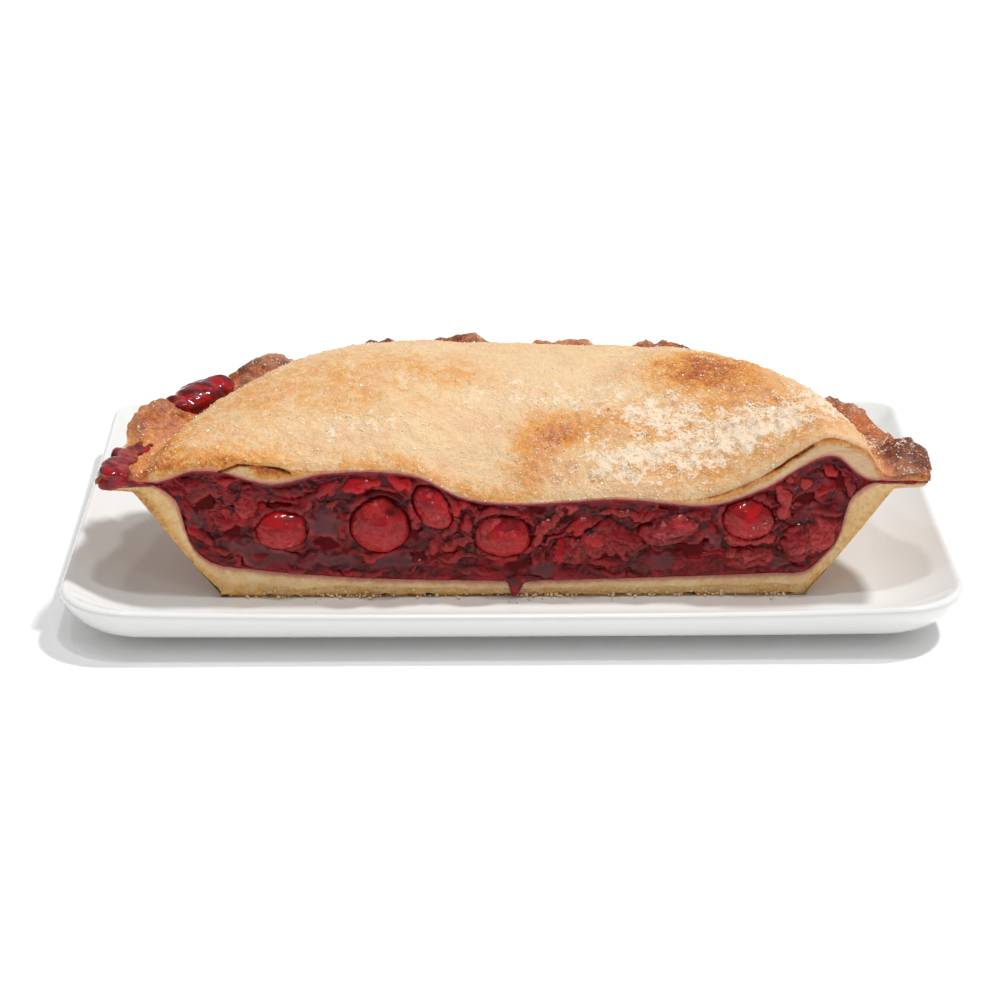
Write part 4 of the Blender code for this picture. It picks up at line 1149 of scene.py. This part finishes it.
def gel_material():
    """Set cherry gel with fruit in it, coloured by the masks of its relief, among them painted shade in
    hollows, a painted highlight on crests and a painted reflection on smooth films.
    """
    nodes = Nodes("cherry_gel_glossy")
    vein = nodes.noise(0.0011, detail=4.0, roughness=0.65, distortion=0.8)
    cloudy = nodes.noise(0.0042, detail=4.0, roughness=0.6, distortion=0.5)
    streak = nodes.noise(0.002, detail=4.0, roughness=0.6, distortion=1.2)
    flesh_mask, film_reflection_mask = nodes.mask("flesh"), nodes.mask("film_and_reflection")
    torn = nodes.mix(nodes.fit(vein, 0.35, 0.65), (0.3, 0.014, 0.018), (0.56, 0.07, 0.06))
    fleshy = nodes.plus(flesh_mask, nodes.centred(vein, 0.7))
    reddish = nodes.plus(nodes.mask("red"), nodes.centred(cloudy, 0.9))
    colour = nodes.mix(nodes.fit(cloudy, 0.38, 0.62), (0.06, 0.0006, 0.002), (0.25, 0.002, 0.006))
    for share, tint in (
        (nodes.fit(streak, 0.5, 0.72, 0.0, 0.75), (0.045, 0.0006, 0.0018)),
        (nodes.fit(fleshy, 0.3, 1.05, 0.0, 0.92), torn),
        (nodes.fit(reddish, 0.2, 0.95, 0.0, 0.85), (0.56, 0.004, 0.01)),
        # Painted reflection: smooth gel films are tinted greyish mauve, as if they mirrored the bright
        # plate.
        (nodes.times(film_reflection_mask, 0.8), (0.1, 0.012, 0.017)),
        # Painted highlight: raised crests of the relief are painted lighter red.
        (nodes.times(nodes.mask("crest"), 0.45), (0.48, 0.05, 0.052)),
        # Painted shade: hollows of the relief are painted near black.
        (nodes.times(nodes.mask("cavity_shade"), 0.85), (0.03, 0.0004, 0.0012)),
        (nodes.times(nodes.mask("pool"), 0.85), (0.13, 0.0006, 0.002)),
        (nodes.times(nodes.mask("edge"), 0.8), (0.42, 0.02, 0.045)),
    ):
        colour = nodes.mix(share, colour, tint)
    nodes.set(Base_Color=colour, Roughness=0.3, Specular_IOR_Level=nodes.fit(film_reflection_mask, 0.0, 0.8, 0.0, 0.14))
    nodes.soften(0.12, (0.0016, 0.0002, 0.0002))
    nodes.wet(0.9, 1.33, 0.03)
    height = nodes.times(nodes.noise(0.0008, detail=3.0, distortion=0.6), flesh_mask)
    nodes.set(Normal=nodes.bump(height, 0.0003, 0.8))
    return nodes.material


def build_filling():
    """Gel and fruit behind the cut, in fine relief, with a plain body behind it."""
    columns, rows = 680, 108
    x = np.linspace(-CUT_HALF_WIDTH, CUT_HALF_WIDTH, columns)
    low, high = filling_outline(x)
    share = np.linspace(0, 1, rows)[:, None]
    grid_x = np.repeat(x[None], rows, 0)
    grid_z = low[None] * (1 - share) + high[None] * share
    x_mm, z_mm = grid_x.ravel() / MM, grid_z.ravel() / MM
    level, flesh, red, film_and_reflection, pool = filling_relief(x_mm, z_mm)

    # A film of gel laps round each cherry and leaves its upper front bare.
    place = on_cut(x_mm, z_mm) * MM
    lapping = 0.46 * noise(place, 0.0034, 66) + 0.16 * noise(place, 0.0014, 67)
    for name, looks in CHERRY_LOOKS.items():
        torn, bare = looks[5] > 0.5, looks[6]
        front, reach, up = cherry_front(x_mm, z_mm, name)
        cover = lapping - bare + 0.55 * rise(0.55, 0.95, reach) - 0.35 * up
        cap = np.where(front > -5, front + cover, -9.0)
        if torn:
            creases = np.clip(1 - 1.6 * np.abs(noise(place * np.array([0.6, 1, 1]), 0.003, 120)), 0, 1)
            cap = cap + 0.75 * creases + 0.25 * noise(place, 0.0013, 121) - 0.55
        blend = rise(0.0, 1.0, np.clip(0.5 + (cap - level) / 0.7, 0, 1)) * (reach < 1)
        collar = 0.85 * (1 - rise(1.0, 1.38, reach)) * (0.75 + 0.8 * noise(place, 0.003, 122))
        level = np.where(reach < 1, np.maximum(cap, level), level + collar * (not torn))
        # Untorn cherries get flesh colour towards their lower side: a painted reflection of the bright plate
        # below. Torn cherries show real flesh all over.
        flesh_and_low_reflection = 0.52 if torn else np.clip(0.7 - 0.95 * up, 0.02, 1.0)
        flesh, red, film_and_reflection, pool = (mask * (1 - blend) + value * blend for mask, value in (
            (flesh, flesh_and_low_reflection), (red, 0.12 if torn else 0.55), (film_and_reflection, 0.1), (pool, 0.0)))

    rim = np.minimum(share, 1 - share) * (high - low)[None]
    fade = rise(0.0, 0.0011, rim).ravel()
    level = level * fade - 0.28 * (1 - fade)
    grid_level = level.reshape(rows, columns)
    soft, softer = blur(grid_level, 2.4), blur(grid_level, 9.0)
    # Hollows of the relief get a mask that paints them near black in the gel material: painted shade.
    cavity_shade = np.clip((soft - grid_level) / 0.6, 0, 1) + np.clip((softer - grid_level) / 1.2, 0, 1)
    cavity_shade = np.minimum(cavity_shade, 1.0).ravel()
    # Crests above the blurred relief get a mask that paints them lighter red in the gel material: a painted
    # highlight.
    crest = np.clip((grid_level - soft) / 0.3, 0, 1).ravel()
    push = level * MM
    points = on_cut(grid_x.ravel(), grid_z.ravel(), -push)
    # Lumps overhang a little towards their edges.
    slope = np.gradient(push.reshape(rows, columns))
    width_x, width_z = x[1] - x[0], np.maximum((high - low) / (rows - 1), 1e-6)[None]
    for part, steepness in ((0, slope[1] / width_x), (2, slope[0] / width_z)):
        points[:, part] -= np.clip(steepness, -1.6, 1.6).ravel() * OVERHANG * fade
    masks = {"flesh": flesh, "red": red, "film_and_reflection": film_and_reflection, "pool": pool, "cavity_shade": cavity_shade, "crest": crest,
             "edge": 1 - fade}
    faces = [grid_faces(rows, columns)]

    # Body behind the cut face: the swept filling of the CAD.
    angle = np.linspace(0, 180, 91)
    pairs = [(radius, base_top(radius, angle) + GAP) for radius in BASE_RADII]
    pairs += [(radius - GAP * 1.5, height) for radius, height in INNER_WALL]
    pairs += [(radius, crust_under(radius, angle) - GAP) for radius in np.linspace(BODY_RADIUS, 0.0, 30)]
    section = section_lines(pairs, angle)
    body = spun(section[..., 0], angle[None], section[..., 1]) + np.array([0.0, BODY_SETBACK, 0.0])
    faces.append(grid_faces(len(pairs), len(angle), len(points)))
    points = np.concatenate([points, body])
    extend(masks, **{key: np.full(len(body), 0.1) for key in masks})

    filling = make_piece("fruit_filling", points, np.concatenate(faces), gel_material(), masks)
    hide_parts("filling")


# ---------------------------------------------------------------- cherries

CHERRY_LOOKS = {
    # name: (half x, half y, half z, tilt, wrinkle, flesh, bareness)
    "cherry_1": (0.007, 0.0062, 0.0053, 6, 0.5, 0.0, 0.3),
    "cherry_2": (0.008, 0.0078, 0.0076, 0, 0.5, 0.1, 0.12),
    "cherry_3": (0.0046, 0.0055, 0.0068, 38, 0.8, 0.5, 0.1),
    "cherry_4": (0.008, 0.007, 0.006, -8, 1.3, 0.5, 0.05),
    "cherry_5": (0.0088, 0.006, 0.0052, 10, 1.4, 0.6, -0.25),
    "cherry_6": (0.009, 0.005, 0.004, 14, 1.6, 0.8, 0.0),
    "cherry_7": (0.007, 0.0068, 0.0056, -10, 0.4, 0.0, 0.3),
    "cherry_8": (0.0072, 0.0055, 0.0038, 4, 1.4, 0.9, -0.1),
    "cherry_9": (0.0052, 0.006, 0.0064, -22, 1.4, 0.9, -0.2),
}


def cherry_material():
    """Wet fruit skin: deep translucent red, paler where the flesh is torn open."""
    nodes = Nodes("cherry_skin")
    vein = nodes.noise(0.0013, detail=4.0, roughness=0.65, distortion=0.6)
    blush = nodes.noise(0.005, detail=2.0)
    flesh_mask = nodes.mask("flesh")
    skin = nodes.mix(nodes.fit(blush, 0.35, 0.65), (0.28, 0.0008, 0.0035), (0.5, 0.003, 0.008))
    torn = nodes.mix(nodes.fit(vein, 0.35, 0.65), (0.24, 0.01, 0.014), (0.56, 0.06, 0.058))
    nodes.set(Base_Color=nodes.mix(flesh_mask, skin, torn), Roughness=0.25, Specular_IOR_Level=0.1)
    nodes.soften(0.2, (0.0024, 0.0002, 0.0002))
    nodes.wet(0.95, 1.36, 0.025)
    height = nodes.times(nodes.noise(0.0008, detail=3.0), flesh_mask)
    nodes.set(Normal=nodes.bump(height, 0.0003, 0.8))
    return nodes.material


def sphere_points(segments, ring_count):
    """Points and faces of a unit sphere of quads."""
    bm = bmesh.new()
    bmesh.ops.create_uvsphere(bm, u_segments=segments, v_segments=ring_count, radius=1.0)
    bm.verts.ensure_lookup_table()
    points = np.array([v.co for v in bm.verts])
    faces = sorted(tuple(v.index for v in face.verts) for face in bm.faces)
    bm.free()
    return points, faces


def build_cherries(material):
    """Whole and torn cherries of the cut face, each dimpled and wrinkled its own way."""
    unit, faces = sphere_points(72, 44)
    for number, (name, looks) in enumerate(CHERRY_LOOKS.items()):
        half_x, half_y, half_z, tilt, wrinkle, fleshy, _ = looks
        place = unit * 0.006
        swell = 1.0 + 0.07 * noise(place, 0.005, 70 + number)
        lines = np.abs(noise(place * np.array([0.6, 1, 1.3]), 0.0042, 80 + number))
        swell -= 0.05 * wrinkle * np.clip(1 - 2.4 * lines, 0, 1)
        swell += 0.012 * wrinkle * noise(place, 0.0011, 90 + number)
        shaped = unit * swell[:, None] * np.array([half_x, half_y, half_z])
        shaped[:, 1] += 0.0009 * np.clip(unit[:, 2], -0.6, 1) * (unit[:, 1] < 0) * np.abs(unit[:, 1])
        turn = np.array(Matrix.Rotation(math.radians(-tilt), 3, "Y"))
        shaped = shaped @ turn.T + np.array(middle(name) - AXIS)
        flesh = np.clip(fleshy + 0.35 * noise(place, 0.005, 60 + number), 0, 1)
        piece = make_piece(name + "_fruit", shaped, faces, material, {"flesh": flesh})
        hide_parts(name)


def blob(name, blobs, voxel, material, roughen, seed):
    """One wet lump from overlapping ovals: (centre, half sizes, turn about Z), melted together."""
    unit, faces = sphere_points(24, 16)
    points, corners = [], []
    for centre, halves, turn in blobs:
        spin = np.array(Matrix.Rotation(math.radians(turn), 3, "Z"))
        corners += [tuple(index + len(unit) * len(points) for index in face) for face in faces]
        points.append((unit * np.array(halves)) @ spin.T + np.array(centre))
    piece = make_piece(name, np.concatenate(points), corners, material)
    remesh = piece.modifiers.new("melt", "REMESH")
    remesh.mode = "VOXEL"
    remesh.voxel_size = voxel
    smooth = piece.modifiers.new("smooth", "SMOOTH")
    smooth.factor, smooth.iterations = 0.6, 6
    melted = bpy.data.meshes.new_from_object(piece.evaluated_get(bpy.context.evaluated_depsgraph_get()))
    piece.modifiers.clear()
    piece.data = melted
    co, normals = vertex_values(melted, "co"), vertex_values(melted, "normal")
    bumps = noise(co, 0.0032, seed) + 0.5 * noise(co, 0.0014, seed + 1)
    melted.vertices.foreach_set("co", (co + normals * (bumps * roughen)[:, None]).ravel())
    melted.shade_smooth()
    melted.attributes.new("flesh", "FLOAT", "POINT")
    return piece


def polar(radius, angle, height):
    """Point of the pie at a radius, an angle in degrees and a height."""
    return (radius * math.cos(math.radians(angle)), radius * math.sin(math.radians(angle)), height)


def glaze_material():
    """Set cherry glaze: dark clear red with a wet surface."""
    nodes = Nodes("cherry_glaze")
    deep = nodes.noise(0.004, detail=3.0, distortion=0.6)
    colour = nodes.mix(nodes.fit(deep, 0.36, 0.64), (0.075, 0.0005, 0.0024), (0.36, 0.002, 0.007))
    nodes.set(Base_Color=colour, Roughness=0.25, Specular_IOR_Level=0.1)
    nodes.soften(0.1, (0.0016, 0.0002, 0.0002))
    nodes.wet(1.0, 1.36, 0.03)
    return nodes.material


def on_lid(radius, angle, lift=0.0):
    """Point of the lid's surface at a radius and an angle in degrees."""
    height = float(crust_top(np.array([radius]), np.array([float(angle)]))[0])
    return polar(radius, angle, height + lift)


def build_rim_juice(material):
    """Fruit and juice that boiled out over the rim at the left, and set there."""
    rim = build_rim_cherry_blobs()
    rim += [(on_lid(radius, angle, lift), halves, angle) for radius, angle, lift, halves in (
        (0.1, 141.6, 0.0002, (0.0034, 0.003, 0.0014)), (0.0965, 139.4, 0.0001, (0.0022, 0.003, 0.0009)),
        (0.0935, 138.0, 0.0, (0.0016, 0.003, 0.0007)), (0.1005, 151.6, 0.0006, (0.0036, 0.0022, 0.002)),
        (0.0975, 153.0, 0.0004, (0.0022, 0.0022, 0.0013)), (0.1025, 150.0, 0.0002, (0.0016, 0.0026, 0.0018)),
        (0.0945, 147.5, 0.0001, (0.0014, 0.006, 0.0008)),
    )]
    piece = blob("rim_fruit", rim, 0.00045, material, 0.00026, 101)
    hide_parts("rim_cherry")
    tip = []
    for number in range(15):
        angle = 179.2 - 0.95 * number
        sway = 0.001 * math.sin(number * 0.8)
        wide = (0.0023 + 0.0007 * math.sin(number * 0.62 + 1)) * (1 - 0.036 * number)
        thick = 0.0012 + 0.0004 * math.sin(number * 0.9)
        tip.append((on_lid(0.1004 + sway, angle, 0.0001), (wide, 0.0034, thick), angle))
        tip.append((on_lid(0.0977 + sway, angle - 0.3, 0.0), (wide * 0.8, 0.003, 0.0006), angle))
    for radius, angle, height, halves in (
        (0.1028, 178.6, 0.0318, (0.0016, 0.0026, 0.0022)), (0.103, 175.0, 0.0322, (0.0013, 0.003, 0.0018)),
        (0.1024, 171.0, 0.0328, (0.0013, 0.003, 0.0017)), (0.099, 180.2, 0.0312, (0.0052, 0.0009, 0.0015)),
        (0.0935, 180.1, 0.0308, (0.0045, 0.0007, 0.0008)),
        (0.1015, 180.2, 0.0301, (0.0026, 0.0008, 0.0009)), (0.103, 179.6, 0.0312, (0.0012, 0.0016, 0.0016)),
    ):
        tip.append((polar(radius, angle, height), halves, angle))
    glaze = blob("tip_glaze", tip, 0.00045, material, 0.00022, 103)
    drip = [
        ((0.0008, -0.0002, 0.0046), (0.0034, 0.001, 0.0014), 0),
        ((0.0004, -0.0005, 0.003), (0.0019, 0.0008, 0.0018), 0),
        ((0.0002, -0.0007, 0.0016), (0.0012, 0.0008, 0.0015), 0),
        ((0.0034, -0.0002, 0.0048), (0.004, 0.0008, 0.0009), 0),
    ]
    run = blob("base_drip", drip, 0.0003, material, 0.00015, 105)
    seam = [((0.0925 + 0.0018 * number, 0.0003, 0.0305 - 0.00004 * number), (0.0017, 0.0008, 0.0006), 0)
            for number in range(5)]
    line = blob("right_seam_juice", seam, 0.0003, material, 0.0001, 106)


def build_rim_cherry_blobs():
    """Ovals of the fruit on the rim, round the place of its CAD solid."""
    centre = np.array(middle("rim_cherry") - AXIS)
    turn = RIM_CHERRY_ANGLE + 90
    spin = np.array(Matrix.Rotation(math.radians(turn), 3, "Z"))
    ovals = (
        ((0.0, 0.0, 0.0004), (0.0098, 0.0056, 0.0034)), ((-0.006, 0.001, 0.001), (0.005, 0.0044, 0.003)),
        ((0.0066, 0.0006, -0.0006), (0.0042, 0.004, 0.0026)),
        ((0.002, -0.0034, -0.0008), (0.006, 0.0026, 0.0018)),
    )
    return [(tuple(centre + spin @ np.array(offset)), halves, turn) for offset, halves in ovals]


# ---------------------------------------------------------------- sugar

CRYSTALS = 6000


def build_sugar(crust, shape):
    """Sugar crystals that stick to the lid, as one joined mesh."""
    rows, columns = shape
    count = rows * columns
    co = vertex_values(crust.data, "co")[:count] - np.array(AXIS)
    normals = vertex_values(crust.data, "normal")[:count]
    radius = np.hypot(co[:, 0], co[:, 1]) / MM
    density = 0.22 + 1.6 * sugar_of(co[:, 0] / MM, co[:, 1] / MM, radius)
    density = density * (0.5 + 0.9 * rise(-0.3, 0.5, noise(co, 0.006, 111)))
    grid = co.reshape(rows, columns, 3)
    spacing = np.prod([np.linalg.norm(np.gradient(grid, axis=axis), axis=-1) for axis in (1, 0)], axis=0)
    density = density * spacing.ravel() * (normals[:, 2] > 0.1)
    rng = np.random.default_rng(7)
    picked = rng.choice(count, CRYSTALS, p=density / density.sum())
    centres = co[picked] + rng.uniform(-0.0003, 0.0003, (CRYSTALS, 3)) * np.array([1, 1, 0])
    cube = np.array(list(itertools.product((-1, 1), repeat=3)), float)
    sides = [(0, 1, 3, 2), (4, 6, 7, 5), (0, 4, 5, 1), (2, 3, 7, 6), (0, 2, 6, 4), (1, 5, 7, 3)]
    halves = rng.uniform(0.00008, 0.00019, (CRYSTALS, 1, 1)) * rng.uniform(0.7, 1.25, (CRYSTALS, 1, 3))
    spin = rng.normal(size=(CRYSTALS, 4))
    spin /= np.linalg.norm(spin, axis=1, keepdims=True)
    w, i, j, k = spin.T
    turn = np.stack([
        1 - 2 * (j * j + k * k), 2 * (i * j - k * w), 2 * (i * k + j * w),
        2 * (i * j + k * w), 1 - 2 * (i * i + k * k), 2 * (j * k - i * w),
        2 * (i * k - j * w), 2 * (j * k + i * w), 1 - 2 * (i * i + j * j)], -1).reshape(-1, 3, 3)
    corners = np.einsum("nij,nkj->nki", turn, cube[None] * halves)
    corners = corners * rng.uniform(0.85, 1.1, corners.shape)
    lifted = centres + normals[picked] * 0.00002
    points = (corners + lifted[:, None]).reshape(-1, 3)
    faces = (np.array(sides)[None] + np.arange(CRYSTALS)[:, None, None] * 8).reshape(-1, 4)
    nodes = Nodes("sugar_crystal")
    tint = nodes.noise(0.0012, detail=1.0)
    nodes.set(Base_Color=nodes.mix(nodes.fit(tint, 0.3, 0.7), (0.97, 0.76, 0.48), (0.98, 0.9, 0.72)))
    nodes.set(Roughness=0.2, Specular_IOR_Level=0.5)
    nodes.soften(0.6, (0.0006, 0.0005, 0.0004))
    sugar = make_piece("sugar_crystals", points, faces, nodes.material)
    sugar.data.shade_flat()


# ---------------------------------------------------------------- crumbs

CRUMBS = 380


def build_crumbs():
    """Crumbs of pastry along the foot of the cut face, as one joined mesh."""
    rng = np.random.default_rng(11)
    clumps = np.array([-62, -46, -38, -20, 3, 10, 28, 42, 52, 66])
    near = rng.choice(clumps, CRUMBS) + rng.normal(0, 3.2, CRUMBS)
    x = np.where(rng.uniform(size=CRUMBS) < 0.6, near, rng.uniform(-72, 72, CRUMBS))
    x = np.clip(x, -72, 72) * MM
    climbs = rng.uniform(size=CRUMBS) < 0.55
    y = np.where(climbs, rng.uniform(-0.0004, 0.0001, CRUMBS), -rng.gamma(1.2, 0.0005, CRUMBS))
    z = np.where(climbs, rng.uniform(0.0002, 0.0026, CRUMBS), 0.0)
    size = rng.gamma(2.2, 0.0001, CRUMBS) + 0.00008
    size = np.minimum(size, 0.0006) * np.where(climbs, 0.8, 1.0)
    unit, faces = sphere_points(6, 4)
    lumps = unit[None] * size[:, None, None] * rng.uniform(0.55, 1.3, (CRUMBS, 1, 3))
    lumps = lumps * rng.uniform(0.75, 1.25, (CRUMBS, len(unit), 1))
    lift = np.where(climbs, 0.0, size * 0.5)
    points = (lumps + np.stack([x, y, z + lift], -1)[:, None]).reshape(-1, 3)
    points[:, 2] = np.maximum(points[:, 2], -GAP * 0.5)
    corners = [tuple(index + first * len(unit) for index in face)
               for first in range(CRUMBS) for face in faces]
    shades = np.repeat(rng.uniform(-0.3, 0.22, CRUMBS), len(unit))
    masks = {"browning": shades, "sugar": np.zeros(len(points)), "soaked": np.zeros(len(points))}
    material = crust_material("crumb_pastry", srgb(246, 216, 166), srgb(228, 170, 100),
                              srgb(184, 108, 54), srgb(104, 48, 30), 0.4)
    crumbs = make_piece("pastry_crumbs", points, corners, material, masks)


# ---------------------------------------------------------------- all together

build_stage()
build_plate()
lid, lid_shape = build_top_crust()
build_bottom_crust()
build_filling()
build_cherries(cherry_material())
build_rim_juice(glaze_material())
build_sugar(lid, lid_shape)
build_crumbs()
